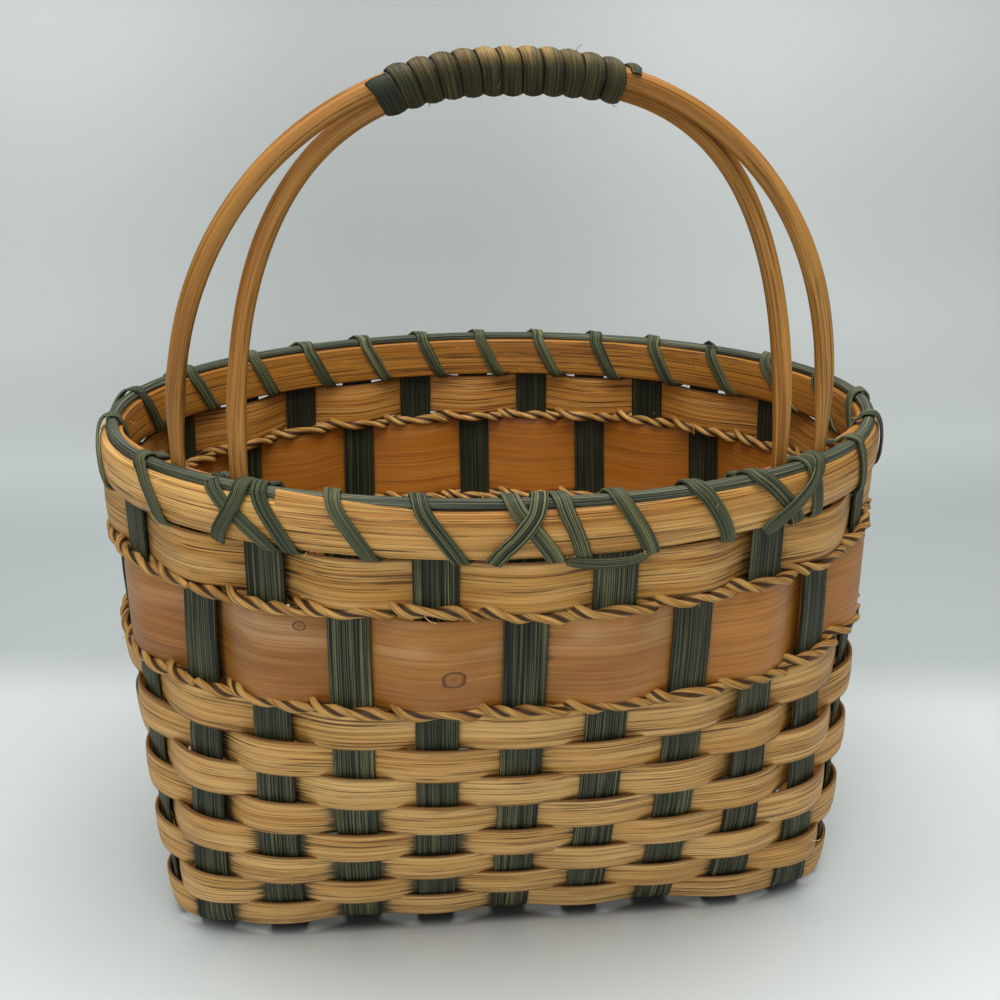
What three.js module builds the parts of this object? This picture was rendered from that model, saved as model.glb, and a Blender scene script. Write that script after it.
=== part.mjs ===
import * as THREE from "three";

// Woven wood basket, in millimetres with +Z up and the base resting on Z = 0.
// The long side with the handle faces -Y. Stakes are numbered from the front left corner
// round the wall, seen from above against the clock: front, right end, back, left end.

// Play left between pieces that touch.
const PLAY = 0.4;

// Flat reed that makes the base and stands up as the wall stakes.
const STAKE_WIDTH = 12.7;
const STAKE_THICKNESS = 1.4;
const CROSS_STAKES = 9;
const LENGTH_STAKES = 4;
const STAKE_PITCH = 25.3;
const RIM_PITCH_SHARE = 0.976;

// Flat reed of the eight woven rows, the wide veneer band and the row above it.
const WEAVER_WIDTH = 12.1;
const WEAVER_THICKNESS = 1.4;
const WEAVER_CROWN = 1;
const WOVEN_ROWS = 8;
const ROW_GAP = 0.3;
const BAND_WIDTH = 27.6;
const BAND_THICKNESS = 1.2;
const TOP_WEAVER_WIDTH = 13.5;

// Round reed twined in pairs above and below the band.
const TWINE_RADIUS = 1.05;
const TWINE_LIFT = 1.5;

// Wall outline: a rounded rectangle at the base that turns into an oval at the rim.
// The flares and bellies are shares of the base's half length and half width.
const LENGTH_FLARE = 1.11;
const WIDTH_FLARE = 1.972;
const LENGTH_BELLY = 0.158;
const WIDTH_BELLY = 0.88;
const BASE_SQUARENESS = 10;
const RIM_SQUARENESS = 2;
const ROUNDING_RATE = 2.2;

// Rim strips, the filler that lies on them and the flat reed that lashes them down.
const RIM_WIDTH = 14.2;
const RIM_THICKNESS = 2.6;
const RIM_PLAY = 0.5;
const RIM_EDGE = 0.9;
const FILLER_RADIUS = 2;
const FILLER_LIFT = 1.6;
const FILLER_SHIFT = 0.4;
const LASHING_WIDTH = 5;
const LASHING_THICKNESS = 0.9;
const LASH_SLACK = 0.35;
const TIED_PLACES = [2, 5, 8.1];

// Where each turn of lashing crosses the filler: a stake and how far past it, in stake gaps.
// Near the handle the turns keep clear of its legs.
const LASH_LEADS = [
  [1, 0.07],
  [2, 0],
  [5, -0.05],
  [8, -0.2],
  [9, -0.2],
  [14, -0.1],
  [22, -0.1],
  [26, 0.02],
  [27, 0.07],
];

// Two round hoops, nested, whose feet are pared flat and slid down behind the front stakes.
// Each leg crosses the rim a little to the side of its stake, at a place counted in stakes.
const OUTER_LEGS = [0.7, 9.07];
const INNER_LEGS = [1.62, 8.26];
const ROD_RADIUS = 2.7;
const HANDLE_RISE = 110;
const HANDLE_LEAN = 4;
const HOOP_DROP = 4.4;
const HOOP_SPREAD = 5.2;
const OUTER_FULLNESS = [2.13, 2.25];
const INNER_FULLNESS = [2.5, 2.78];
const TAIL_WIDTH = 6;
const TAIL_THICKNESS = 2.5;
const ROWS_BELOW_TAIL = 4;

// Flat reed wound round both hoops where the hand holds them.
const GRIP_LENGTH = 63;
const GRIP_CENTRE_X = -3;
const GRIP_TURNS = 12;
const GRIP_WIDTH = 4.5;
const GRIP_THICKNESS = 0.9;

// Heights that follow from the sizes above.
const BASE_THICKNESS = 2 * STAKE_THICKNESS + PLAY;
const FIRST_ROW_Z = BASE_THICKNESS + 2 * PLAY;
const ROW_PITCH = WEAVER_WIDTH + ROW_GAP;
const ROWS_TOP_Z = FIRST_ROW_Z + WOVEN_ROWS * ROW_PITCH - ROW_GAP;
const TWINE_HALF = TWINE_LIFT + TWINE_RADIUS + ROW_GAP;
const LOWER_TWINE_Z = ROWS_TOP_Z + TWINE_HALF;
const BAND_Z = LOWER_TWINE_Z + TWINE_HALF;
const UPPER_TWINE_Z = BAND_Z + BAND_WIDTH + TWINE_HALF;
const TOP_WEAVER_Z = UPPER_TWINE_Z + TWINE_HALF;
const RIM_Z = TOP_WEAVER_Z + TOP_WEAVER_WIDTH + LASHING_THICKNESS + 2 * PLAY;
const RIM_TOP_Z = RIM_Z + RIM_WIDTH;
const STAKE_TOP_Z = RIM_TOP_Z - 1;
const TAIL_BOTTOM_Z = FIRST_ROW_Z + ROWS_BELOW_TAIL * ROW_PITCH + PLAY;

// Plan sizes that follow from the sizes above.
const WALL_STAKES = 2 * (CROSS_STAKES + LENGTH_STAKES);
const BASE_HALF_LENGTH = (CROSS_STAKES * STAKE_PITCH) / 2;
const BASE_HALF_WIDTH = (LENGTH_STAKES * STAKE_PITCH) / 2;
const HALF_STAKE = STAKE_WIDTH / 2;
const TAIL_OFFSET = -(STAKE_THICKNESS / 2 + PLAY + TAIL_THICKNESS / 2);
const LEG_OFFSET = FILLER_SHIFT - FILLER_RADIUS - PLAY - TAIL_THICKNESS / 2;
const RIM_FACE = STAKE_THICKNESS / 2 + RIM_PLAY;
const FOOT_BULGE = TAIL_THICKNESS / 2 + PLAY - LEG_OFFSET - RIM_FACE;
const OUTER_FEET = [1, CROSS_STAKES];
const INNER_FEET = [2, CROSS_STAKES - 1];
const FOOT_STAKES = [...OUTER_FEET, ...INNER_FEET];

// Colours of plain and dyed reed.
const PLAIN_REED = 0xbe8c4b;
const DYED_REED = 0x33453f;
const BAND_WOOD = 0xaf7341;
const RIM_WOOD = 0xcd9b55;
const ROD_WOOD = 0xbe8240;

const group = new THREE.Group();
group.name = "woven_wood_basket";

function add(name, geometry, color, roughness) {
  const material = new THREE.MeshStandardMaterial({ color, roughness, metalness: 0 });
  const mesh = new THREE.Mesh(geometry, material);
  mesh.name = name;
  group.add(mesh);
}

// A skin over equal polygons, joined end to end or capped, with its faces turned outwards.
function loft(sections, closed) {
  const sides = sections[0].length;
  const positions = [];
  for (const section of sections) {
    for (const point of section) positions.push(point.x, point.y, point.z);
  }
  const faces = [];
  const spans = closed ? sections.length : sections.length - 1;
  for (let i = 0; i < spans; i += 1) {
    const here = i * sides;
    const next = ((i + 1) % sections.length) * sides;
    for (let j = 0; j < sides; j += 1) {
      const k = (j + 1) % sides;
      faces.push([here + j, here + k, next + k]);
      faces.push([here + j, next + k, next + j]);
    }
  }
  if (!closed) {
    const last = (sections.length - 1) * sides;
    for (let j = 1; j < sides - 1; j += 1) {
      faces.push([0, j + 1, j]);
      faces.push([last, last + j, last + j + 1]);
    }
  }
  let volume = 0;
  const corner = (i) => new THREE.Vector3().fromArray(positions, 3 * i);
  for (const [a, b, c] of faces) volume += corner(a).dot(corner(b).cross(corner(c)));
  const index = faces.flatMap(([a, b, c]) => (volume > 0 ? [a, b, c] : [a, c, b]));
  const geometry = new THREE.BufferGeometry();
  geometry.setAttribute("position", new THREE.Float32BufferAttribute(positions, 3));
  geometry.setIndex(index);
  geometry.computeVertexNormals();
  return geometry;
}

function lerp(a, b, t) {
  return a + (b - a) * t;
}

function smooth(t) {
  const u = Math.min(Math.max(t, 0), 1);
  return u * u * (3 - 2 * u);
}

// Half sizes and squareness of the wall's middle surface at one height.
function outline(z) {
  const u = Math.min(z / RIM_TOP_Z, 1);
  const bow = u * (1 - u);
  const turn = 1 - (1 - u) ** ROUNDING_RATE;
  return {
    a: BASE_HALF_LENGTH * (lerp(1, LENGTH_FLARE, u) + LENGTH_BELLY * bow),
    b: BASE_HALF_WIDTH * (lerp(1, WIDTH_FLARE, u) + WIDTH_BELLY * bow),
    n: 1 / lerp(1 / BASE_SQUARENESS, 1 / RIM_SQUARENESS, turn),
    u,
  };
}

// The outline at one height as points with their arc length from the middle of the front.
const RING_STEPS = 1440;
const rings = new Map();
function ring(z) {
  const key = z.toFixed(4);
  if (rings.has(key)) return rings.get(key);
  const { a, b, n, u } = outline(z);
  const points = [];
  const arcs = [];
  let arc = 0;
  for (let i = 0; i <= RING_STEPS; i += 1) {
    const angle = (2 * Math.PI * i) / RING_STEPS;
    const x = Math.sin(angle);
    const y = -Math.cos(angle);
    const r = (Math.abs(x / a) ** n + Math.abs(y / b) ** n) ** (-1 / n);
    const point = new THREE.Vector2(r * x, r * y);
    if (i > 0) arc += point.distanceTo(points[i - 1]);
    points.push(point);
    arcs.push(arc);
  }
  const side = STAKE_PITCH * lerp(1, RIM_PITCH_SHARE, u);
  const end = (arc - 2 * (CROSS_STAKES - 1) * side) / (2 * (LENGTH_STAKES + 1));
  const made = { a, b, n, points, arcs, side, end };
  rings.set(key, made);
  return made;
}

// Arc length of stake k, whole or between stakes, at one height.
function stakeArc(shape, k) {
  const length = shape.arcs[RING_STEPS];
  const half = WALL_STAKES / 2;
  const turns = Math.floor((k - 1) / half);
  const within = k - turns * half;
  const onSide = Math.min(within, CROSS_STAKES);
  const onEnd = within - onSide;
  const middle = (CROSS_STAKES + 1) / 2;
  return (turns * length) / 2 + (onSide - middle) * shape.side + onEnd * shape.end;
}

// Place on the wall at stake k: its middle point, the way round the wall and the way out.
function wall(z, k) {
  const shape = ring(z);
  const length = shape.arcs[RING_STEPS];
  const arc = ((stakeArc(shape, k) % length) + length) % length;
  let low = 0;
  let high = RING_STEPS;
  while (high - low > 1) {
    const mid = (low + high) >> 1;
    if (shape.arcs[mid] <= arc) low = mid;
    else high = mid;
  }
  const t = (arc - shape.arcs[low]) / (shape.arcs[high] - shape.arcs[low]);
  const flat = shape.points[low].clone().lerp(shape.points[high], t);
  const power = shape.n - 1;
  const out = new THREE.Vector3(
    (Math.sign(flat.x) * Math.abs(flat.x / shape.a) ** power) / shape.a,
    (Math.sign(flat.y) * Math.abs(flat.y / shape.b) ** power) / shape.b,
    0,
  ).normalize();
  const along = new THREE.Vector3(-out.y, out.x, 0);
  return { centre: new THREE.Vector3(flat.x, flat.y, z), along, out };
}

function onWall(z, k, lateral, offset) {
  const { centre, along, out } = wall(z, k);
  return centre.addScaledVector(along, lateral).addScaledVector(out, offset);
}

// A flat strip through places that each have a middle, a width direction and a face direction.
function strip(places, width, thickness) {
  const sections = places.map(({ centre, across, face }) => {
    const corners = [
      [-1, -1],
      [1, -1],
      [1, 1],
      [-1, 1],
    ];
    return corners.map(([i, j]) =>
      centre
        .clone()
        .addScaledVector(across, (i * width) / 2)
        .addScaledVector(face, (j * thickness) / 2),
    );
  });
  return loft(sections, false);
}

// Direction of a run of points at one of them, halfway between its two spans.
function heading(points, i) {
  const before = points[Math.max(i - 1, 0)];
  const after = points[Math.min(i + 1, points.length - 1)];
  const here = points[i];
  const into = here.clone().sub(before).normalize();
  const onward = after.clone().sub(here).normalize();
  return into.add(onward).normalize();
}

// Least distance between points of a winding that lie at least one part of a turn apart.
function leastGap(edges, apart) {
  let least = Infinity;
  edges.forEach((left, i) => {
    for (let j = i + apart; j < edges.length; j += 1) {
      for (const p of left) {
        for (const q of edges[j]) least = Math.min(least, p.distanceTo(q));
      }
    }
  });
  return least;
}

// Stakes: each is one strip that crosses the base, bends up and stands in two opposite walls.
const stakeLevels = [BASE_THICKNESS + 0.7];
for (let row = 1; row <= WOVEN_ROWS; row += row < ROWS_BELOW_TAIL ? 1 : 2) {
  stakeLevels.push(FIRST_ROW_Z + row * ROW_PITCH - ROW_GAP / 2);
}
stakeLevels.push(BAND_Z - ROW_GAP / 2);
stakeLevels.push(BAND_Z + BAND_WIDTH + ROW_GAP / 2);
stakeLevels.push(TOP_WEAVER_Z - ROW_GAP / 2);
stakeLevels.push(RIM_Z - PLAY);
stakeLevels.push(STAKE_TOP_Z);

const BASE_STEP = (STAKE_THICKNESS + PLAY) / 2;
const BASE_MIDDLE_Z = BASE_THICKNESS / 2;
const crossPlaces = [];
for (let i = 1; i <= CROSS_STAKES; i += 1) {
  crossPlaces.push(wall(stakeLevels[0], i).centre.x);
}
const lengthPlaces = [];
for (let j = 1; j <= LENGTH_STAKES; j += 1) {
  lengthPlaces.push(wall(stakeLevels[0], CROSS_STAKES + j).centre.y);
}

// One end of a stake, from the base up the wall at stake k.
function risingEnd(k, baseZ) {
  const foot = stakeLevels[0];
  const bends = [
    [-2.6 * STAKE_THICKNESS, baseZ],
    [-0.65 * STAKE_THICKNESS, baseZ + 0.2 * STAKE_THICKNESS],
    [0, Math.min(baseZ + STAKE_THICKNESS, foot - 0.15)],
  ];
  const points = bends.map(([offset, z]) => {
    const point = onWall(foot, k, 0, offset);
    point.z = z;
    return { point, k, z: foot };
  });
  for (const z of stakeLevels) points.push({ point: onWall(z, k, 0, 0), k, z });
  return points;
}

function stake(startK, endK, axis, fixed, crossings, raised) {
  const run = [];
  const reach = HALF_STAKE + 0.3;
  const level = (raise) => BASE_MIDDLE_Z + (raise ? BASE_STEP : -BASE_STEP);
  const first = risingEnd(startK, level(raised(0))).reverse();
  run.push(...first);
  crossings.forEach((place, index) => {
    for (const edge of [-reach, reach]) {
      const point = new THREE.Vector3();
      point[axis === "x" ? "y" : "x"] = fixed;
      point[axis] = place + edge;
      point.z = level(raised(index));
      run.push({ point });
    }
  });
  run.push(...risingEnd(endK, level(raised(crossings.length - 1))));
  const points = run.map((item) => item.point);
  const baseAcross = new THREE.Vector3(axis === "y" ? 1 : 0, axis === "x" ? 1 : 0, 0);
  const places = run.map((item, i) => {
    const ahead = heading(points, i);
    const across = item.k ? wall(item.z, item.k).along : baseAcross.clone();
    if (across.dot(baseAcross) < 0) across.negate();
    const face = new THREE.Vector3().crossVectors(across, ahead).normalize();
    return { centre: item.point, across, face };
  });
  return strip(places, STAKE_WIDTH, STAKE_THICKNESS);
}

for (let i = 1; i <= CROSS_STAKES; i += 1) {
  const opposite = WALL_STAKES / 2 + CROSS_STAKES + 1 - i;
  const raised = (j) => (i + j + 1) % 2 === 0;
  const shape = stake(i, opposite, "y", crossPlaces[i - 1], lengthPlaces, raised);
  add(`cross_stake_${i}`, shape, DYED_REED, 0.75);
}
for (let j = 1; j <= LENGTH_STAKES; j += 1) {
  const right = CROSS_STAKES + j;
  const left = WALL_STAKES + 1 - j;
  const raised = (i) => (i + 1 + j) % 2 !== 0;
  const shape = stake(left, right, "x", lengthPlaces[j - 1], crossPlaces, raised);
  add(`length_stake_${j}`, shape, DYED_REED, 0.75);
}

// A flat ring that passes inside and outside the stakes by turns.
function weaverRing(row, z0, z1, thickness) {
  const clear = STAKE_THICKNESS / 2 + PLAY + thickness / 2;
  const sections = [];
  for (let k = 1; k <= WALL_STAKES; k += 1) {
    const inside = (k + row) % 2 === 0;
    const tail = inside && FOOT_STAKES.includes(k) && z1 > TAIL_BOTTOM_Z;
    let edge = clear;
    let middle = clear + WEAVER_CROWN;
    if (tail) {
      edge += TAIL_THICKNESS / 2;
      middle = clear + TAIL_THICKNESS + PLAY + WEAVER_CROWN / 2;
    }
    const way = inside ? -1 : 1;
    const steps = [
      [-HALF_STAKE, way * edge],
      [0, way * middle],
      [HALF_STAKE, way * edge],
    ];
    for (const [lateral, offset] of steps) {
      sections.push([
        onWall(z0, k, lateral, offset + thickness / 2),
        onWall(z1, k, lateral, offset + thickness / 2),
        onWall(z1, k, lateral, offset - thickness / 2),
        onWall(z0, k, lateral, offset - thickness / 2),
      ]);
    }
  }
  return loft(sections, true);
}

for (let row = 1; row <= WOVEN_ROWS; row += 1) {
  const z0 = FIRST_ROW_Z + (row - 1) * ROW_PITCH;
  const shape = weaverRing(row, z0, z0 + WEAVER_WIDTH, WEAVER_THICKNESS);
  add(`weaver_row_${row}`, shape, PLAIN_REED, 0.7);
}
const band = weaverRing(WOVEN_ROWS + 1, BAND_Z, BAND_Z + BAND_WIDTH, BAND_THICKNESS);
add("veneer_band", band, BAND_WOOD, 0.5);
const topRow = WOVEN_ROWS + 2;
const topEnd = TOP_WEAVER_Z + TOP_WEAVER_WIDTH;
add("top_weaver", weaverRing(topRow, TOP_WEAVER_Z, topEnd, WEAVER_THICKNESS), PLAIN_REED, 0.7);

// A round strand that changes sides with its partner in every gap between stakes.
const TWINE_SIDES = 4;
function twine(z, phase) {
  const reach = STAKE_THICKNESS / 2 + PLAY + TWINE_RADIUS;
  const sections = [];
  const round = (centre, out) => {
    const section = [];
    for (let j = 0; j < TWINE_SIDES; j += 1) {
      const angle = (2 * Math.PI * j) / TWINE_SIDES;
      const point = centre.clone().addScaledVector(out, TWINE_RADIUS * Math.cos(angle));
      point.z += TWINE_RADIUS * Math.sin(angle);
      section.push(point);
    }
    return section;
  };
  for (let k = 1; k <= WALL_STAKES; k += 1) {
    const inside = (k + phase) % 2 === 0;
    const tail = inside && FOOT_STAKES.includes(k) ? TAIL_THICKNESS + PLAY : 0;
    const offset = inside ? -(reach + tail) : reach;
    const { out } = wall(z, k);
    sections.push(round(onWall(z, k, -HALF_STAKE, offset), out));
    sections.push(round(onWall(z, k, HALF_STAKE, offset), out));
    const gap = wall(z, k + 0.5);
    gap.centre.z += inside ? TWINE_LIFT : -TWINE_LIFT;
    sections.push(round(gap.centre, gap.out));
  }
  return loft(sections, true);
}

add("lower_twining_a", twine(LOWER_TWINE_Z, 0), PLAIN_REED, 0.7);
add("lower_twining_b", twine(LOWER_TWINE_Z, 1), PLAIN_REED, 0.7);
add("upper_twining_a", twine(UPPER_TWINE_Z, 0), PLAIN_REED, 0.7);
add("upper_twining_b", twine(UPPER_TWINE_Z, 1), PLAIN_REED, 0.7);

// How far a place on the rim is drawn in by the feet of the handle, from 0 to 1.
function footShare(k) {
  const fromPair = (low, high) => {
    const centre = (low + high) / 2;
    const turns = Math.round((k - centre) / WALL_STAKES);
    return Math.abs(k - turns * WALL_STAKES - centre) - (high - low) / 2;
  };
  const left = fromPair(OUTER_LEGS[0], INNER_LEGS[0]);
  const right = fromPair(INNER_LEGS[1], OUTER_LEGS[1]);
  const away = Math.min(left, right);
  return Math.min(Math.max((1.75 - away) / 1.5, 0), 1);
}

// Both edges of every stake round the rim, as places that rim pieces pass through.
function rimPlaces() {
  const places = [];
  for (let k = 1; k <= WALL_STAKES; k += 1) {
    const share = footShare(k + 0.25);
    const before = footShare(k - 0.25);
    places.push({ k, lateral: -HALF_STAKE, share: before });
    places.push({ k, lateral: HALF_STAKE, share });
  }
  return places;
}

function rimStrip(way, bulge) {
  const profile = [
    [0, 0],
    [0, RIM_WIDTH],
    [RIM_THICKNESS - RIM_EDGE, RIM_WIDTH],
    [RIM_THICKNESS, 0.77 * RIM_WIDTH],
    [RIM_THICKNESS, 0.23 * RIM_WIDTH],
    [RIM_THICKNESS - RIM_EDGE, 0],
  ];
  const sections = rimPlaces().map(({ k, lateral, share }) =>
    profile.map(([depth, rise]) =>
      onWall(RIM_Z + rise, k, lateral, way * (RIM_FACE + depth + bulge * share)),
    ),
  );
  return loft(sections, true);
}

add("outer_rim", rimStrip(1, 0), RIM_WOOD, 0.55);
add("inner_rim", rimStrip(-1, FOOT_BULGE), RIM_WOOD, 0.55);

const FILLER_SIDES = 6;
const fillerZ = RIM_TOP_Z + FILLER_LIFT;
const fillerSections = rimPlaces().map(({ k, lateral, share }) => {
  const section = [];
  for (let j = 0; j < FILLER_SIDES; j += 1) {
    const angle = (2 * Math.PI * (j + 0.5)) / FILLER_SIDES;
    const offset = FILLER_SHIFT * share + FILLER_RADIUS * Math.cos(angle);
    const point = onWall(RIM_TOP_Z, k, lateral, offset);
    point.z = fillerZ + FILLER_RADIUS * Math.sin(angle);
    section.push(point);
  }
  return section;
});
add("rim_filler", loft(fillerSections, true), DYED_REED, 0.7);

// Lashing: a flat strip that slants down over the outer rim, passes through the wall under
// the rims between two stakes, and comes up inside to cross the filler before the next stake.
const LASH_CLEAR = PLAY + LASHING_THICKNESS / 2;
const LASH_FACE = RIM_FACE + RIM_THICKNESS + LASH_CLEAR;
const LASH_OUTER = LASH_FACE + LASH_SLACK;
const LASH_ARC = FILLER_RADIUS + LASH_CLEAR + 0.3;
const LASH_TOP_Z = fillerZ + FILLER_RADIUS + LASH_CLEAR;
const LASH_UNDER_Z = RIM_Z - LASH_CLEAR;
const LASH_SHOULDER_Z = fillerZ + LASH_ARC * Math.SQRT1_2;
const LASH_SHOULDER = LASH_ARC * Math.SQRT1_2;
const LASH_UNDER = LASH_FACE - 0.7;

function lashPlace(k, offset, z, face) {
  const share = footShare(k);
  let shifted = offset;
  if (z > RIM_TOP_Z + FILLER_LIFT) shifted += FILLER_SHIFT * share;
  else if (offset < 0) shifted -= FOOT_BULGE * share;
  const level = Math.min(z, RIM_TOP_Z);
  const { out } = wall(level, k);
  const point = onWall(level, k, 0, shifted);
  point.z = z;
  const normal = new THREE.Vector3(0, 0, face[1]).addScaledVector(out, face[0]).normalize();
  return { point, normal };
}

function lashStrip(steps) {
  const places = steps.map(([k, offset, z, face]) => lashPlace(k, offset, z, face));
  const points = places.map((place) => place.point);
  return places.map(({ point, normal }, i) => {
    const across = new THREE.Vector3().crossVectors(normal, heading(points, i)).normalize();
    return { centre: point, across, face: normal };
  });
}

function lashLead(k) {
  const after = LASH_LEADS.findIndex(([place]) => place >= k);
  const [highK, high] = LASH_LEADS[after];
  const [lowK, low] = LASH_LEADS[Math.max(after - 1, 0)];
  return highK === lowK ? high : lerp(low, high, (k - lowK) / (highK - lowK));
}

function lashTurn(k) {
  const start = k + lashLead(k);
  const end = k + 1 + lashLead(k + 1);
  return [
    [start, 0, LASH_TOP_Z, [0, 1]],
    [start + 0.03, LASH_SHOULDER, LASH_SHOULDER_Z, [1, 1]],
    [start + 0.09, LASH_OUTER, RIM_TOP_Z + 0.2, [1, 0.3]],
    [k + 0.36, LASH_OUTER, RIM_Z + 0.27 * RIM_WIDTH, [1, 0]],
    [k + 0.46, LASH_OUTER, RIM_Z + 0.5, [1, -0.2]],
    [k + 0.49, LASH_UNDER, LASH_UNDER_Z, [0.3, -1]],
    [k + 0.52, -LASH_UNDER, LASH_UNDER_Z, [-0.3, -1]],
    [k + 0.56, -LASH_FACE, RIM_Z + 0.5, [-1, -0.2]],
    [end - 0.08, -LASH_FACE, RIM_TOP_Z + 0.2, [-1, 0.3]],
    [end - 0.035, -LASH_SHOULDER, LASH_SHOULDER_Z, [-1, 1]],
  ];
}

function lashing(firstK, turns) {
  const steps = [];
  for (let turn = 0; turn < turns; turn += 1) steps.push(...lashTurn(firstK + turn));
  return lashStrip(steps.slice(1));
}

const LASH_TURNS = WALL_STAKES / 2;
const LASH_STEPS = lashTurn(1).length;
const lashNames = ["rim_lashing_front", "rim_lashing_back"];
lashNames.forEach((name, i) => {
  const places = lashing(1 + i * LASH_TURNS, LASH_TURNS);
  add(name, strip(places, LASHING_WIDTH, LASHING_THICKNESS), DYED_REED, 0.7);
  const edges = places.map(({ centre, across }) => [
    centre.clone().addScaledVector(across, LASHING_WIDTH / 2),
    centre.clone().addScaledVector(across, -LASHING_WIDTH / 2),
  ]);
  const gap = leastGap(edges, LASH_STEPS - 3) - LASHING_THICKNESS;
  console.log(`${name}: least gap between turns ${gap.toFixed(2)} mm`);
});

// Three short ties cross the lashing the other way.
const OVER_LASH = LASH_OUTER + LASHING_THICKNESS + PLAY;
TIED_PLACES.forEach((k, i) => {
  const steps = [
    [k - 0.28, LASH_OUTER, RIM_Z + 0.7, [1, 0]],
    [k - 0.2, OVER_LASH, RIM_Z + 0.26 * RIM_WIDTH, [1, 0]],
    [k + 0.02, OVER_LASH, RIM_Z + 0.5 * RIM_WIDTH, [1, 0]],
    [k + 0.24, OVER_LASH, RIM_Z + 0.74 * RIM_WIDTH, [1, 0]],
    [k + 0.38, LASH_OUTER, RIM_TOP_Z + 0.2, [1, 0.3]],
    [k + 0.41, LASH_SHOULDER, LASH_SHOULDER_Z, [1, 1]],
    [k + 0.42, 0, LASH_TOP_Z, [0, 1]],
    [k + 0.42, -LASH_SHOULDER, LASH_SHOULDER_Z, [-1, 1]],
    [k + 0.37, -LASH_FACE, RIM_TOP_Z + 0.2, [-1, 0.3]],
    [k + 0.27, -LASH_FACE, RIM_Z + 0.6 * RIM_WIDTH, [-1, 0]],
  ];
  const shape = strip(lashStrip(steps), LASHING_WIDTH, LASHING_THICKNESS);
  add(`cross_tie_${i + 1}`, shape, DYED_REED, 0.7);
});

// The arch of one hoop above the rim: height and depth over a place along its span.
function arch(legs, topZ, topY, fullnesses) {
  const left = onWall(RIM_TOP_Z, legs[0], 0, LEG_OFFSET);
  const right = onWall(RIM_TOP_Z, legs[1], 0, LEG_OFFSET);
  const middle = (left.x + right.x) / 2;
  const half = (right.x - left.x) / 2;
  const rise = topZ - RIM_TOP_Z;
  const fullness = (way) => fullnesses[way < 0 ? 0 : 1];
  const depth = (x, z) => {
    const foot = x < middle ? left.y : right.y;
    return lerp(foot, topY, smooth((z - RIM_TOP_Z) / (0.75 * rise)));
  };
  const atAngle = (way, angle) => {
    const power = 2 / fullness(way);
    const x = middle + way * half * Math.max(Math.cos(angle), 0) ** power;
    const z = RIM_TOP_Z + rise * Math.sin(angle) ** power;
    return new THREE.Vector3(x, depth(x, z), z);
  };
  const angleAt = (way, height) => Math.asin((height / rise) ** (fullness(way) / 2));
  const overX = (x) => {
    const way = x < middle ? -1 : 1;
    const m = fullness(way);
    const z = RIM_TOP_Z + rise * (1 - Math.abs((x - middle) / half) ** m) ** (1 / m);
    return new THREE.Vector3(x, depth(x, z), z);
  };
  return { atAngle, angleAt, overX };
}

const legY = (legs) => onWall(RIM_TOP_Z, legs[0], 0, LEG_OFFSET).y;
const handleY = (legY(OUTER_LEGS) + legY(INNER_LEGS)) / 2 - HANDLE_LEAN;
const outerTop = RIM_TOP_Z + HANDLE_RISE;
const outerArch = arch(OUTER_LEGS, outerTop, handleY - HOOP_SPREAD / 2, OUTER_FULLNESS);
const innerTop = outerTop - HOOP_DROP;
const innerArch = arch(INNER_LEGS, innerTop, handleY + HOOP_SPREAD / 2, INNER_FULLNESS);

// A hoop: a pared tail behind the stake at each foot and one round rod between them.
const ROD_SIDES = 8;
function hoop(curve, feet, legs) {
  const legTop = LASH_TOP_Z - RIM_TOP_Z + LASHING_THICKNESS / 2;
  const roundFrom = legTop + 2.8 * ROD_RADIUS;
  const tailLevels = stakeLevels.filter((z) => z > TAIL_BOTTOM_Z + PLAY && z < RIM_Z);
  const leg = (way, k, rimPlace) => {
    const { along, out } = wall(RIM_TOP_Z, rimPlace);
    const items = [TAIL_BOTTOM_Z, ...tailLevels].map((z) => {
      const place = wall(z, k);
      return {
        point: onWall(z, k, 0, TAIL_OFFSET),
        wide: TAIL_WIDTH / 2,
        deep: TAIL_THICKNESS / 2,
        out: place.out,
        along: place.along,
      };
    });
    for (const height of [0, legTop]) {
      const point = curve.atAngle(way, curve.angleAt(way, height));
      items.push({ point, wide: TAIL_WIDTH / 2, deep: TAIL_THICKNESS / 2, out, along });
    }
    const front = new THREE.Vector3(0, -1, 0);
    const angles = [curve.angleAt(way, roundFrom)];
    for (const degrees of [9, 15, 23, 33, 43, 53, 62, 70, 77, 84]) {
      angles.push((degrees * Math.PI) / 180);
    }
    for (const angle of angles) {
      const point = curve.atAngle(way, angle);
      items.push({ point, wide: ROD_RADIUS, deep: ROD_RADIUS, out: front });
    }
    return items;
  };
  const top = {
    point: curve.atAngle(1, Math.PI / 2),
    wide: ROD_RADIUS,
    deep: ROD_RADIUS,
    out: new THREE.Vector3(0, -1, 0),
  };
  const leftLeg = leg(-1, feet[0], legs[0]);
  const rightLeg = leg(1, feet[1], legs[1]);
  const items = [...leftLeg, top, ...rightLeg.reverse()];
  const points = items.map((item) => item.point);
  const sections = items.map((item, i) => {
    const ahead = heading(points, i);
    const wide = new THREE.Vector3().crossVectors(ahead, item.out).normalize();
    const deep = new THREE.Vector3().crossVectors(wide, ahead).normalize();
    const section = [];
    for (let j = 0; j < ROD_SIDES; j += 1) {
      const angle = (2 * Math.PI * j) / ROD_SIDES;
      section.push(
        item.point
          .clone()
          .addScaledVector(wide, item.wide * Math.cos(angle))
          .addScaledVector(deep, item.deep * Math.sin(angle)),
      );
    }
    return section;
  });
  return loft(sections, false);
}

add("outer_hoop", hoop(outerArch, OUTER_FEET, OUTER_LEGS), ROD_WOOD, 0.55);
add("inner_hoop", hoop(innerArch, INNER_FEET, INNER_LEGS), ROD_WOOD, 0.55);

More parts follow.
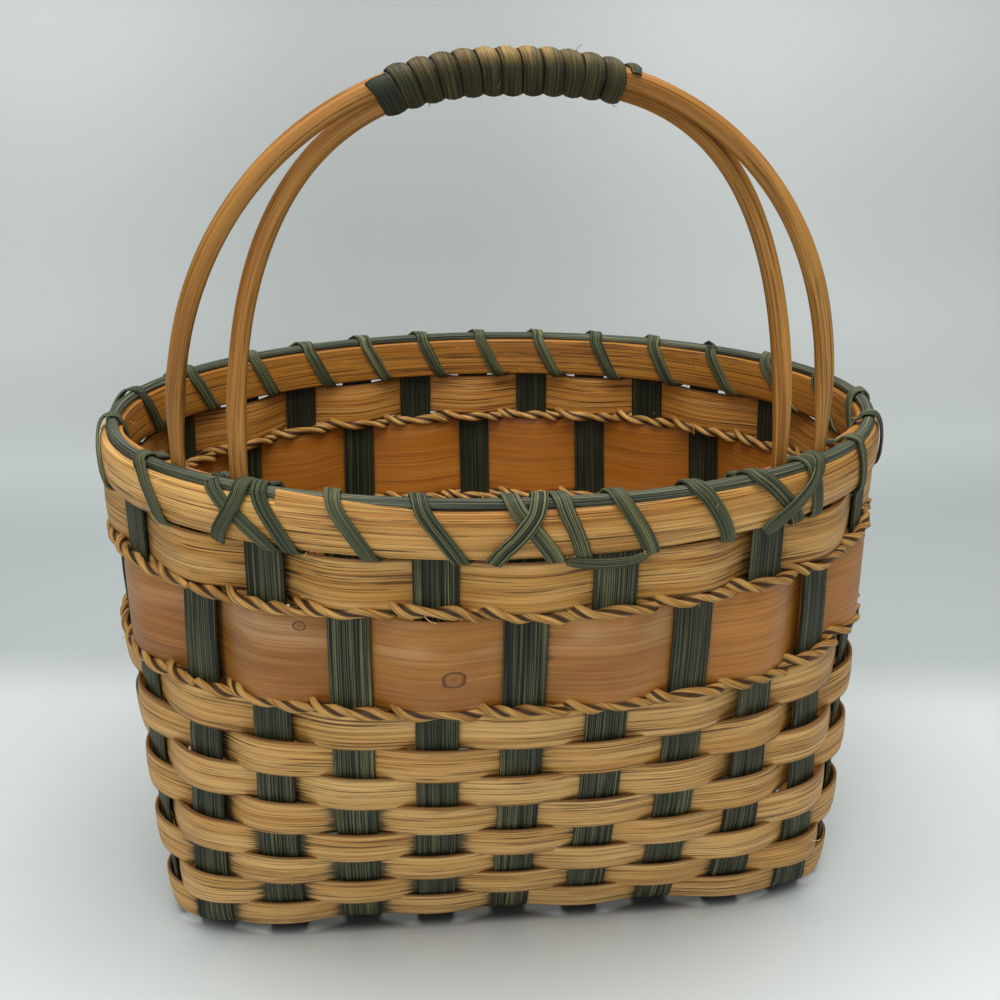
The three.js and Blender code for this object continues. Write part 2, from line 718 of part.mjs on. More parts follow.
// Grip: one flat strip wound round both rods, following the arch.
const GRIP_STEPS = 12;
const gripReach = ROD_RADIUS + PLAY + GRIP_THICKNESS / 2;
const gripPlaces = [];
for (let step = 0; step <= GRIP_TURNS * GRIP_STEPS; step += 1) {
  const share = step / (GRIP_TURNS * GRIP_STEPS);
  const x = GRIP_CENTRE_X + GRIP_LENGTH * (share - 0.5);
  const upper = outerArch.overX(x);
  const lower = innerArch.overX(x);
  const ahead = outerArch
    .overX(x + 0.5)
    .add(innerArch.overX(x + 0.5))
    .sub(upper)
    .sub(lower)
    .normalize();
  const middle = upper.clone().add(lower).multiplyScalar(0.5);
  const spread = upper.clone().sub(middle);
  spread.addScaledVector(ahead, -spread.dot(ahead));
  const toUpper = spread.clone().normalize();
  const aside = new THREE.Vector3().crossVectors(ahead, toUpper);
  const slot = step % GRIP_STEPS;
  const half = GRIP_STEPS / 2;
  const way = slot < half ? 1 : -1;
  const angle = (((slot % half) + 0.5) / half - 0.5) * Math.PI;
  const face = toUpper
    .clone()
    .multiplyScalar(way * Math.cos(angle))
    .addScaledVector(aside, way * Math.sin(angle));
  const centre = middle.clone().addScaledVector(spread, way).addScaledVector(face, gripReach);
  gripPlaces.push({ centre, across: ahead, face });
}
add("grip_wrap", strip(gripPlaces, GRIP_WIDTH, GRIP_THICKNESS), DYED_REED, 0.7);
const gripEdges = gripPlaces.map(({ centre, across, face }) =>
  [-1, 1].flatMap((side) =>
    [-0.5, 0.5].map((layer) =>
      centre
        .clone()
        .addScaledVector(across, (side * GRIP_WIDTH) / 2)
        .addScaledVector(face, layer * GRIP_THICKNESS),
    ),
  ),
);
const gripGap = leastGap(gripEdges, GRIP_STEPS - 3);
console.log(`grip_wrap: least gap between turns ${gripGap.toFixed(2)} mm`);

export default group;
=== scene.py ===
import math

import bpy
import numpy as np
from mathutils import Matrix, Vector


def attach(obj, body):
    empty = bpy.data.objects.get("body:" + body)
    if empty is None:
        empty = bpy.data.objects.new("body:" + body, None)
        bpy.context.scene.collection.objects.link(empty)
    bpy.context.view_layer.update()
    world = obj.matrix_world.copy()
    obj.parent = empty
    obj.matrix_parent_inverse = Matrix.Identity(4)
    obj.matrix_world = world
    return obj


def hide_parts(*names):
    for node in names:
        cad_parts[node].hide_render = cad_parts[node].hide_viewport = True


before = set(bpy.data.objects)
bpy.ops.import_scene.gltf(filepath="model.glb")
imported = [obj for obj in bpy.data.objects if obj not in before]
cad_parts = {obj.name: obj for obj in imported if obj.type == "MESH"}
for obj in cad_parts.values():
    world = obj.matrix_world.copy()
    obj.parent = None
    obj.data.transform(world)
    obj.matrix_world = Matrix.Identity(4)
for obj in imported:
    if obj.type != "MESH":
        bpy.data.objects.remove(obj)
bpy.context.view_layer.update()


# Wall stakes. Thirteen strips of half-inch flat reed, dyed blue-green, are plaited into the
# base and bent up at both ends, so that each stands in two opposite walls. The dye lies
# unevenly along the fibres, and every row of the wall is woven round these strips.
stake_width, stake_thickness = 12.7, 1.4
stake_count, side_stakes, end_stakes = 26, 9, 4
stake_pitch, rim_pitch = 25.3, 24.69
base_half, rim_half, belly = (113.85, 50.6), (126.37, 99.78), (17.99, 44.53)
base_round, rim_round, rounding_rate = 0.1, 0.5, 2.2
rim_low, rim_high = 157.1, 171.3
stake_top = rim_high - 1
weaver_rows = [(4.0 + 12.4 * row, 16.1 + 12.4 * row) for row in range(8)]
band_low, band_high = 108.6, 136.2
top_row_low, top_row_high = 141.9, 155.4
all_rows = weaver_rows + [(band_low, band_high), (top_row_low, top_row_high)]
bend_top, bend_foot, base_edge = 9.0, 4.0, 3.9
plait_levels, crossing_half = (0.7, 2.5), 6.6
dice = np.random.default_rng(41)
wall_tables = {}


def wall_table(height):
    """The wall's outline at one height: its shape, its points and the arc length up to each."""
    key = round(float(height), 3)
    if key not in wall_tables:
        up = min(key / rim_high, 1.0)
        half = [low + (high - low) * up + bow * up * (1 - up)
                for low, high, bow in zip(base_half, rim_half, belly)]
        square = 1 / (base_round + (rim_round - base_round) * (1 - (1 - up) ** rounding_rate))
        angle = np.linspace(0, 2 * np.pi, 1441)
        x, y = np.sin(angle), -np.cos(angle)
        reach = (np.abs(x / half[0]) ** square + np.abs(y / half[1]) ** square) ** (-1 / square)
        x, y = x * reach, y * reach
        arc = np.concatenate([[0], np.cumsum(np.hypot(np.diff(x), np.diff(y)))])
        side = stake_pitch + (rim_pitch - stake_pitch) * up
        end = (arc[-1] - 2 * (side_stakes - 1) * side) / (stake_count - 2 * side_stakes + 2)
        wall_tables[key] = (half, square, x, y, arc, side, end)
    return wall_tables[key]


def on_wall(height, stake, offset=0.0):
    """Points on the wall at stake numbers, whole or between, moved out by offset; and the way out."""
    half, square, xs, ys, arcs, side, end = wall_table(height)
    stake = np.asarray(stake, float)
    halves = np.floor((stake - 1) / (stake_count / 2))
    within = stake - halves * stake_count / 2
    on_side = np.minimum(within, side_stakes)
    arc = halves * arcs[-1] / 2 + (on_side - (side_stakes + 1) / 2) * side + (within - on_side) * end
    arc = np.mod(arc, arcs[-1])
    x, y = np.interp(arc, arcs, xs), np.interp(arc, arcs, ys)
    out_x = np.sign(x) * np.abs(x / half[0]) ** (square - 1) / half[0]
    out_y = np.sign(y) * np.abs(y / half[1]) ** (square - 1) / half[1]
    size = np.hypot(out_x, out_y)
    out = np.stack([out_x / size, out_y / size, np.zeros_like(x)], -1)
    point = np.stack([x, y, np.full_like(x, float(height))], -1)
    return point + out * np.asarray(offset, float)[..., None], out


def inside(stake, row):
    """True where a row of the weave passes behind a stake."""
    return (stake + row) % 2 == 0


def reed_profile(width, thickness, crown=0.08):
    """Section of a flat strip with eased edges, as (across, depth) points."""
    shape = [(-1, 0), (-0.985, 0.5), (-0.95, 0.82), (-0.86, 0.96), (-0.55, 1 + crown * 0.6),
             (0, 1 + crown), (0.55, 1 + crown * 0.6), (0.86, 0.96), (0.95, 0.82), (0.985, 0.5)]
    face = np.array(shape) * (width / 2, thickness / 2)
    return np.concatenate([face, -face])


def lengths(points, closed=False):
    """Running length in metres through points given in millimetres."""
    if closed:
        points = np.concatenate([points, points[:1]])
    steps = np.linalg.norm(np.diff(points, axis=0), axis=-1)
    return np.concatenate([[0], np.cumsum(steps)]) * 0.001


def unit(ways):
    """Directions brought to a length of one."""
    return ways / np.linalg.norm(ways, axis=-1, keepdims=True)


def stand(name, data):
    """A new object in the scene, with a mesh, lamp or camera as its data."""
    piece = bpy.data.objects.new(name, data)
    bpy.context.scene.collection.objects.link(piece)
    return piece


def skin(name, grid, section, closed, finish, **marks):
    """A mesh object over a grid of section points, with a UV map of lengths along and around."""
    rows, cols = grid.shape[:2]
    along, around = lengths(grid.mean(axis=1), closed), lengths(section, True)
    i, j = np.meshgrid(np.arange(rows if closed else rows - 1), np.arange(cols), indexing="ij")
    corners = ((0, 0), (1, 0), (1, 1), (0, 1))
    quads = np.stack([(i + a) % rows * cols + (j + b) % cols for a, b in corners], -1).reshape(-1, 4)
    places = np.stack([np.stack([along[i + a], around[j + b]], -1) for a, b in corners], -2).reshape(-1, 4, 2)
    points = grid.reshape(-1, 3)
    corner = points[quads]
    volume = sum(np.einsum("ij,ij->", corner[:, 0], np.cross(corner[:, k], corner[:, k + 1])) for k in (1, 2))
    turned = volume < 0
    if turned:
        quads, places = quads[:, ::-1], places[:, ::-1]
    faces = quads.tolist()
    places = places.reshape(-1, 2)
    if not closed:
        first, last = list(range(cols)), list(range((rows - 1) * cols, rows * cols))
        faces += [first, last[::-1]] if turned else [first[::-1], last]
        cap = np.stack([np.zeros(cols), around[:cols]], -1)
        places = np.concatenate([places, cap, cap])
    mesh = bpy.data.meshes.new(name)
    mesh.from_pydata((points * 0.001).tolist(), [], faces)
    mesh.uv_layers.new(name="strip").data.foreach_set("uv", places.ravel())
    for mark, value in marks.items():
        value = np.asarray(value, float)
        value = np.broadcast_to(value[:, None] if value.ndim == 1 else value, (rows, cols))
        mesh.attributes.new(mark, "FLOAT", "POINT").data.foreach_set("value", value.ravel())
    mesh.polygons.foreach_set("use_smooth", np.ones(len(mesh.polygons), bool))
    mesh.materials.append(finish)
    mesh.update()
    return stand(name, mesh)


def sections(path, across, face, wide, deep):
    """Section grid along a path, from how far each point lies across it and towards its face."""
    return path[:, None] + across[:, None] * wide[..., None] + face[:, None] * deep[..., None]


def sweep(path, across, out, profile, swell):
    """Section grid of a strip along a path, its width along across and its face towards out."""
    ahead = unit(np.gradient(path, axis=0))
    if across is None:
        across = np.cross(out, ahead)
    across = unit(across - ahead * np.sum(across * ahead, axis=1, keepdims=True))
    wide, deep = swell[:, None] * profile[:, 0], swell[:, None] * profile[:, 1]
    return sections(path, across, np.cross(ahead, across), wide, deep)


def ease(t):
    t = np.clip(t, 0, 1)
    return t * t * (3 - 2 * t)


def drift(count, size, waves=6):
    """A smooth random wander round a closed run, of about that size."""
    turn = np.linspace(0, 2 * np.pi, count, endpoint=False)
    run = np.zeros(count)
    for wave in range(1, waves + 1):
        run += dice.normal() / wave ** 0.5 * np.sin(wave * turn + dice.uniform(0, 2 * np.pi))
    return run * size / 1.6


def mottled(level, count, size, waves=6):
    """A mark between 0 and 1 that wanders about a level."""
    return np.clip(level + drift(count, size, waves), 0, 1)


class Dab:
    """A socket of a node tree. Arithmetic on it adds Math nodes, and node() adds any other node."""

    def __init__(self, tree, socket=None):
        self.tree, self.socket = tree, socket

    def node(self, kind, links=None, output=0, **settings):
        made = self.tree.nodes.new(kind)
        for key, value in settings.items():
            setattr(made, key, value)
        for key, value in (links or {}).items():
            if isinstance(value, Dab):
                self.tree.links.new(value.socket, made.inputs[key])
            else:
                made.inputs[key].default_value = value
        return Dab(self.tree, made.outputs[output])

    def at(self, output):
        return Dab(self.tree, self.socket.node.outputs[output])

    def mark(self, name):
        return self.node("ShaderNodeAttribute", None, 2, attribute_name=name)

    def reckon(self, operation, first, second=0.0):
        return self.node("ShaderNodeMath", {0: first, 1: second}, operation=operation)

    def __add__(self, other):
        return self.reckon("ADD", self, other)

    def __sub__(self, other):
        return self.reckon("SUBTRACT", self, other)

    def __rsub__(self, other):
        return self.reckon("SUBTRACT", other, self)

    def __mul__(self, other):
        return self.reckon("MULTIPLY", self, other)

    __radd__ = __add__
    __rmul__ = __mul__

    def between(self, low, high):
        return self.node("ShaderNodeMapRange", {0: self, 1: low, 2: high, 3: 0.0, 4: 1.0},
                         interpolation_type="SMOOTHSTEP")

    def blend(self, first, second):
        first, second = (tint(*shade) if isinstance(shade, tuple) else shade for shade in (first, second))
        return self.node("ShaderNodeMix", {0: self, 6: first, 7: second}, 2, data_type="RGBA")

    def coats(self, *coats):
        """This colour under others, each laid over it as far as its mask says."""
        colour = self
        for mask, shade in coats:
            colour = mask.blend(colour, shade)
        return colour

    def noise(self, x, y, z, detail, roughness=0.5):
        place = self.node("ShaderNodeCombineXYZ", {0: x, 1: y, 2: z})
        return self.node("ShaderNodeTexNoise", {"Vector": place, "Scale": 1.0, "Detail": detail,
                                                "Roughness": roughness})


def tint(red, green, blue):
    """A colour given by its screen values, as the shader's linear one."""
    level = [c / 255 for c in (red, green, blue)]
    return tuple(c / 12.92 if c <= 0.04045 else ((c + 0.055) / 1.055) ** 2.4 for c in level) + (1.0,)


def new_finish(name):
    finish = bpy.data.materials.new(name)
    finish.use_nodes = True
    return finish, finish.node_tree.nodes["Principled BSDF"], Dab(finish.node_tree)


def strip_place(dab):
    """The lengths along and around a strip, as its UV map has them."""
    return dab.node("ShaderNodeSeparateXYZ", {0: dab.node("ShaderNodeUVMap", uv_map="strip")})


def grain(dab, along_rate, across_rate, detail=2.0, shift=0.0):
    """Noise drawn out along a strip's own length, different on each strip."""
    place = strip_place(dab)
    return dab.noise(place * along_rate, place.at(1) * across_rate, dab.mark("lot") * 61.0 + shift, detail, 0.6)


def settle(dab, shader, colour, rough, relief, height, depth, gloss=0.5):
    """Links a finish's colour, roughness and relief to its shader, and sets its gloss."""
    bump = dab.node("ShaderNodeBump", {"Strength": relief, "Distance": depth, "Height": height})
    for entry, made in (("Base Color", colour), ("Roughness", rough), ("Normal", bump)):
        dab.tree.links.new(made.socket, shader.inputs[entry])
    shader.inputs["Specular IOR Level"].default_value = gloss


def dyed_reed(name, deep, body, pale, straw, rough):
    """Reed dyed blue-green: dark and pale fibres side by side, straw colour where the dye missed, and painted
    shade on inner faces.
    """
    finish, shader, dab = new_finish(name)
    broad = grain(dab, 8.0, 160.0)
    fibre = grain(dab, 10.0, 2200.0, 2.0, 7.0)
    thread = grain(dab, 14.0, 4200.0, 1.0, 19.0)
    patch = grain(dab, 40.0, 130.0, 3.0, 31.0)
    missed = patch.between(0.46, 0.66) * 0.5 + dab.mark("tone") * 0.55
    colour = fibre.between(0.4, 0.6).blend(deep, body).coats(
        (missed * fibre.between(0.46, 0.6) * 0.8, pale),
        (thread.between(0.53, 0.63) * (0.3 + missed * 0.5), straw),
        (thread.between(0.48, 0.38) * 0.75, (14, 18, 14)),
        # painted shade: faces marked inner, inside the basket, are darkened
        (dab.mark("inner") * 0.65, (22, 26, 16)))
    settle(dab, shader, colour, broad * 0.25 + rough, 0.8, fibre * 0.5 + thread * 0.5, 0.0005, 0.2)
    return finish


stake_finish = dyed_reed("dyed_stake_reed", (27, 33, 27), (50, 58, 47), (98, 97, 66), (144, 138, 96), 0.45)


def down_wall(stake, level):
    """A stake's line from its top down one wall and round the tight turn into the base, and the ways out."""
    heights = np.linspace(stake_top, bend_top, 56)
    middles = [(low + high) / 2 for low, high in all_rows]
    push = [0.3 if inside(stake, row + 1) else -0.3 for row in range(len(all_rows))]
    flex = np.interp(heights, middles, push) * ease((heights - bend_top) / 8)
    wall, wall_out = (np.array(run) for run in zip(*[on_wall(z, stake, f) for z, f in zip(heights, flex)]))
    t = np.linspace(0, 1, 12)[1:, None]
    ends = np.array([[0, bend_top], [0, level + 1.6], [-1.4, level], [-7.0, level]])
    bend = np.hstack([(1 - t) ** 3, 3 * (1 - t) ** 2 * t, 3 * (1 - t) * t ** 2, t ** 3]) @ ends
    foot, out = on_wall(bend_foot, stake)
    lean = (on_wall(bend_top, stake)[0] - foot) * np.clip((bend[:, 1:] - bend_foot) / (bend_top - bend_foot), 0, 1)
    turn = foot + lean + out * bend[:, :1]
    turn[:, 2] = bend[:, 1]
    return np.concatenate([wall, turn]), np.concatenate([wall_out, np.repeat(out[None], len(turn), 0)])


def plait_level(place, crossings, raised):
    """Height of a strip along the base, over and under the strips it crosses."""
    edges = [crossing + side for crossing in crossings for side in (-crossing_half, crossing_half)]
    return np.interp(place, edges, np.repeat([plait_levels[up] for up in raised], 2))


cross_places = [float(on_wall(base_edge, k)[0][0]) for k in range(1, side_stakes + 1)]
length_places = [float(on_wall(base_edge, side_stakes + k)[0][1]) for k in range(1, end_stakes + 1)]
stake_profile = reed_profile(stake_width, stake_thickness)


def make_stake(name, start, end, axis, fixed, crossings, raised, tone):
    first, first_out = down_wall(start, plait_levels[raised[0]])
    last, last_out = down_wall(end, plait_levels[raised[-1]])
    run = np.linspace(first[-1][axis], last[-1][axis], 70)[1:-1]
    base = np.zeros((len(run), 3))
    base[:, axis], base[:, 1 - axis] = run, fixed
    base[:, 2] = plait_level(run, crossings, raised)
    path = np.concatenate([first, base, last[::-1]])
    span = np.eye(3)[1 - axis]
    sides = [np.stack([-out[:, 1], out[:, 0], out[:, 2]], -1) for out in (first_out, last_out[::-1])]
    sides = [side * np.sign(side @ span)[:, None] for side in sides]
    across = np.concatenate([sides[0], np.repeat(span[None], len(base), 0), sides[1]])
    grid = sweep(path, across, None, stake_profile, 1 + drift(len(path), 0.012))
    worn = mottled(tone, len(path), 0.16)
    top_ring = (grid[0] - path[0]) @ first_out[0]
    # inner marks the stake's inside face, which its finish darkens as painted shade
    piece = skin(name, grid, stake_profile, False, stake_finish, lot=dice.uniform(), tone=worn,
                 inner=(top_ring < 0)[None])
    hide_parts(name.replace("dyed_", ""))
    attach(piece, "root")


worn_by_stake = (0.2, 0.15, 0.62, 0.2, 0.3, 0.3, 0.55, 0.2, 0.25)
for number, worn in enumerate(worn_by_stake, 1):
    make_stake(f"dyed_cross_stake_{number}", number, 2 * side_stakes + end_stakes + 1 - number, 1,
               cross_places[number - 1], length_places,
               [(number + crossed) % 2 == 0 for crossed in range(1, end_stakes + 1)], worn)
for number in range(1, end_stakes + 1):
    make_stake(f"dyed_length_stake_{number}", stake_count + 1 - number, side_stakes + number, 0,
               length_places[number - 1], cross_places,
               [(crossed + number) % 2 != 0 for crossed in range(1, side_stakes + 1)], dice.uniform(0.05, 0.4))


# Woven rows. Eight rings of plain flat reed pass in front of one stake and behind the next,
# shifted by one stake from row to row, so they spring out over each stake in a long curve.
# The reed is honey coloured with dark vessel lines, and takes some dye where it meets a stake.
weaver_thickness, weaver_spring = 1.4, 2.8
weaver_tuck, weaver_lean = 0.65, 0.38
steps_per_stake, back_seam = 20, 24
round_wall = 1 + np.arange(stake_count * steps_per_stake) / steps_per_stake
foot_stakes, tail_bottom = (1, 2, 8, 9), 54.0
stake_half, bleed_run = 0.24, 0.12


def plain_reed(name, pale, body, dark, line, rough, lines=0.8):
    """Undyed reed: broad warm and pale runs, fine fibres and dark broken vessel lines, painted warm bounce light
    on inner faces, and darker edges that are partly painted shade.
    """
    finish, shader, dab = new_finish(name)
    broad = grain(dab, 9.0, 150.0)
    fibre = grain(dab, 12.0, 850.0, 2.0, 5.0)
    vessel = grain(dab, 12.0, 2200.0, 1.0, 11.0)
    hair = grain(dab, 26.0, 3300.0, 1.0, 41.0)
    cloud = grain(dab, 40.0, 320.0, 2.0, 23.0)
    inner = dab.mark("inner")
    drawn = vessel.between(0.55, 0.6) * (0.12 + cloud.between(0.42, 0.6) * 0.88)
    # dye beside stakes on rows and rims; on the hoop rods the same mark paints shade under the grip wrap
    bled = dab.mark("dye") * (0.2 + fibre * 1.2) + (vessel - 0.5) * 1.2 + (hair - 0.5) * 0.8
    colour = (broad.between(0.38, 0.62) * 0.6 + dab.mark("tone") * 0.4).blend(body, pale).coats(
        # painted warm bounce light on faces marked inner
        (inner * 0.7, (192, 124, 36)),
        (fibre.between(0.48, 0.38) * 0.5, dark),
        (fibre.between(0.55, 0.64) * 0.4, pale),
        (hair.between(0.48, 0.38) * 0.4, dark),
        (drawn * lines, line),
        # darker edges: partly the cut edges' own tone, partly painted shade in the gaps between rows
        (dab.mark("edge") * 0.7, line),
        (bled.between(0.2, 0.7) * (1 - inner) * 0.9, (42, 56, 42)))
    settle(dab, shader, colour, fibre * 0.25 + rough, 0.7, fibre * 0.4 + hair * 0.4 - drawn * 0.6, 0.0005, 0.3)
    return finish


weaver_finish = plain_reed("plain_weaver_reed", (228, 184, 116), (198, 144, 68), (146, 94, 36),
                           (82, 48, 16), 0.38, 0.85)


def apart(place, stake):
    """How far a place on the wall is from a stake, the shorter way round, in stakes."""
    return (place - stake + stake_count / 2) % stake_count - stake_count / 2


def weave_offset(row, high, spring):
    """How far a row stands from the wall's middle at each step, over stakes and behind them."""
    peaks = []
    for stake in range(1, stake_count + 2):
        number = (stake - 1) % stake_count + 1
        lift = spring * (1 + dice.normal() * 0.05)
        if inside(number, row):
            lift *= -0.8
            if number in foot_stakes and high > tail_bottom:
                lift -= 2.2
        peaks.append(lift)
    peaks[-1] = peaks[0]
    peaks = np.array(peaks)
    whole = np.floor(round_wall).astype(int) - 1
    part = round_wall - np.floor(round_wall)
    turn = 0.5 - 0.5 * np.cos(np.pi * part)
    return peaks[whole] * (1 - turn) + peaks[whole + 1] * turn


def dye_marks(row):
    """Dye on a row beside the stakes that it passes behind, stronger at some than at others."""
    near = np.zeros(len(round_wall))
    for stake in range(1, stake_count + 1):
        if inside(stake, row):
            for way in (-1, 1):
                gap = apart(round_wall, stake) * way - stake_half
                strength = dice.uniform(0, 1) ** 1.3 * (1.3 if row < 5 else 0.8)
                if row < 6 and stake < 5:
                    strength = 1.1 + strength * 0.5
                fade = np.exp(-np.maximum(gap, 0) / bleed_run) * (gap > -stake_half)
                near = np.maximum(near, strength * fade)
    return near


def edge_mark(profile):
    """Marks the edges of a strip's section to darken: partly the cut edges' own darker tone, partly painted shade
    in the gaps beside them.
    """
    return ease((np.abs(profile[:, 0]) / np.abs(profile[:, 0]).max() - 0.84) / 0.12)[None]


def laid(places, section):
    """Grid of a strip laid along the wall, from each section point's (wall level, distance out, height)."""
    columns = []
    for level, away, height in section:
        column, _ = on_wall(level, places, away)
        column[:, 2] = height
        columns.append(column)
    return np.stack(columns, 1)


def from_seam(run, seam=back_seam):
    """A closed run turned to start at a stake behind, so that its grain's seam is out of sight."""
    return np.roll(run, -seam * steps_per_stake, axis=0)


def make_row(name, row, low, high, thickness, spring, finish, node, wander=0.35, crown=0.4,
             lean=weaver_lean, tuck=(weaver_tuck, weaver_tuck)):
    low, high = low - tuck[0], high + tuck[1]
    profile = reed_profile(high - low, thickness, crown)
    middle = (low + high) / 2
    offset = weave_offset(row, high, spring)
    rise = drift(len(round_wall), wander, 9) + lean * offset
    seam = back_seam - 1 if inside(back_seam, row) else back_seam
    grid = from_seam(laid(round_wall, [(middle + across, offset + depth, middle + across + rise)
                                       for across, depth in profile]), seam)
    dye = from_seam(dye_marks(row), seam)
    tone = mottled(0.5 + dice.normal() * 0.2, len(round_wall), 0.25)
    # inner marks the inside face, which the reed and veneer finishes tint as painted warm bounce light
    piece = skin(name, grid, profile, True, finish, lot=dice.uniform(), tone=tone, dye=dye,
                 edge=edge_mark(profile), inner=(profile[:, 1] < 0)[None])
    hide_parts(node)
    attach(piece, "root")
    return lengths(grid.mean(axis=1))[(np.arange(stake_count) - seam) * steps_per_stake]


for row, (low, high) in enumerate(weaver_rows, 1):
    top_tuck = 1.5 if row == len(weaver_rows) else weaver_tuck
    make_row(f"plain_weaver_{row}", row, low, high, weaver_thickness, weaver_spring, weaver_finish,
             f"weaver_row_{row}", tuck=(weaver_tuck, top_tuck))
make_row("plain_top_weaver", 10, top_row_low, top_row_high, weaver_thickness, weaver_spring, weaver_finish,
         "top_weaver", lean=0.15, tuck=(1.8, 0.8))


# Veneer band. One wide strip of sliced wood, smooth and satin, woven through the stakes above
# the rows. It shows long soft figure, darker patches and two small knots on the front.
band_tuck = 2.5, 2.1
band_finish, band_shader, band_dab = new_finish("smooth_veneer")
stake_run = make_row("smooth_veneer_band", 9, band_low, band_high, 1.2, 2.6, band_finish, "veneer_band",
                     0.25, 0.1, 0.1, band_tuck)


def veneer(shader, dab, knots, orange):
    """Knots are (length along, height up the band, radius) in metres; the wood turns orange along it."""
    cloud = grain(dab, 18.0, 50.0, 3.0)
    figure = grain(dab, 7.0, 260.0, 3.0, 9.0)
    fibre = grain(dab, 14.0, 1100.0, 2.0, 17.0)
    stain = grain(dab, 30.0, 70.0, 2.0, 29.0)
    place, inner = strip_place(dab), dab.mark("inner")
    # A pale haze in patches over the upper half of the band's outer face, left of the orange part: partly wear,
    # partly a painted sheen where the light falls.
    sheen_and_wear = grain(dab, 24.0, 60.0, 2.0, 53.0).between(0.42, 0.62) * place.at(1).between(0.016, 0.024)
    colour = cloud.between(0.36, 0.66).blend((148, 94, 32), (178, 118, 46)).coats(
        (stain.between(0.5, 0.7) * 0.6, (168, 98, 28)),
        (place.between(orange[0], orange[1]) * 0.55, (194, 124, 40)),
        (sheen_and_wear * place.between(orange[1], orange[0]) * (1 - inner) * 0.6, (206, 164, 116)),
        # painted warm bounce light on the band's inner face
        (inner * 0.6, (178, 104, 24)),
        (figure.between(0.48, 0.38) * 0.3, (136, 84, 38)),
        (figure.between(0.57, 0.68) * 0.28, (200, 148, 88)),
        (fibre.between(0.54, 0.62) * 0.35, (116, 70, 32)),
        (fibre.between(0.46, 0.38) * 0.2, (204, 154, 96)))
    for along, up, radius in knots:
        spot = dab.node("ShaderNodeCombineXYZ", {0: (place - along) * 0.75, 1: place.at(1) - up, 2: 0.0})
        far = dab.node("ShaderNodeVectorMath", {0: spot}, 1, operation="LENGTH")
        wave = far + (figure - 0.5) * radius * 0.9
        ring = wave.between(radius, radius * 0.9) * wave.between(radius * 0.6, radius * 0.82)
        colour = colour.coats(
            (wave.between(radius, radius * 0.6) * 0.4, (144, 84, 42)),
            (ring * 0.85, (84, 44, 20)),
            (wave.between(radius * 0.4, radius * 0.12) * 0.6, (112, 62, 32)))
    bled = (dab.mark("dye") * (0.4 + cloud) + (fibre - 0.5) * 0.8).between(0.35, 0.8)
    colour = colour.coats((bled * (1 - inner) * 0.8, (48, 56, 44)),
                          # darker edges: partly the cut edges' own tone, partly painted shade beside them
                          (dab.mark("edge") * 0.45, (120, 74, 36)))
    shader.inputs["Coat Weight"].default_value = 0.06
    shader.inputs["Coat Roughness"].default_value = 0.35
    settle(dab, shader, colour, figure * 0.2 + 0.34, 0.4, fibre * 0.6 + figure * 0.4, 0.0003, 0.35)


def band_place(stake, height):
    """A place on the band's outer face, by stake number and height, in its own lengths."""
    along = np.interp(stake, np.arange(side_stakes) + 1, stake_run[:side_stakes])
    return float(along), (height - band_low + band_tuck[0]) * 0.001


veneer(band_shader, band_dab, [(*band_place(4.2, 119.0), 0.0030), (*band_place(2.43, 133.0), 0.0015)],
       (band_place(5.6, 0.0)[0], band_place(8.0, 0.0)[0]))


# Twined rows. Two cords of straw-coloured rush run together above and below the band: one
# passes in front of each stake and one behind, and they change places between the stakes. Each
# cord is two flat straws twisted up, so slanting folds show along it.
cord_wide, cord_thick, cord_waist, cord_lay = 4.2, 3.1, 0.26, 21.0
lower_twine, upper_twine = 105.75, 139.05
twine_steps = 30


def rush(name):
    finish, shader, dab = new_finish(name)
    run, girth = dab.mark("run"), dab.mark("girth")
    soft = dab.noise(run * 70.0, girth * 5.0, 0.0, 3.0)
    fibre = dab.noise(run * 40.0, girth * 30.0, 3.0, 3.0)
    # Dark lines where the two straws of a cord meet: painted shade in the groove between them.
    groove_shade = dab.reckon("COSINE", girth * (4 * math.pi))
    colour = soft.between(0.38, 0.62).blend((172, 124, 58), (210, 164, 92)).coats(
        (fibre.between(0.49, 0.4) * 0.7, (126, 82, 34)),
        (fibre.between(0.55, 0.63) * 0.5, (226, 186, 118)),
        (groove_shade.between(-0.5, -0.95) * 0.95, (52, 28, 10)))
    settle(dab, shader, colour, soft * 0.2 + 0.42, 0.7, fibre, 0.0006, 0.3)
    return finish


def new_tree(name, inputs):
    """A Geometry Nodes tree with a mesh in and out and named numbers; returns what is given to it."""
    tree = bpy.data.node_groups.new(name, "GeometryNodeTree")
    for way in ("INPUT", "OUTPUT"):
        tree.interface.new_socket("Geometry", in_out=way, socket_type="NodeSocketGeometry")
    for title, value in inputs.items():
        kind = "NodeSocketInt" if isinstance(value, int) else "NodeSocketFloat"
        tree.interface.new_socket(title, in_out="INPUT", socket_type=kind).default_value = value
    return Dab(tree).node("NodeGroupInput")


def end_tree(made, finish):
    """Ends a tree: its instances become real, and all of it wears one finish."""
    real = made.node("GeometryNodeRealizeInstances", {"Geometry": made})
    coat = made.node("GeometryNodeSetMaterial", {"Geometry": real, "Material": finish})
    made.tree.links.new(coat.socket, made.tree.nodes.new("NodeGroupOutput").inputs["Geometry"])
    return made.tree


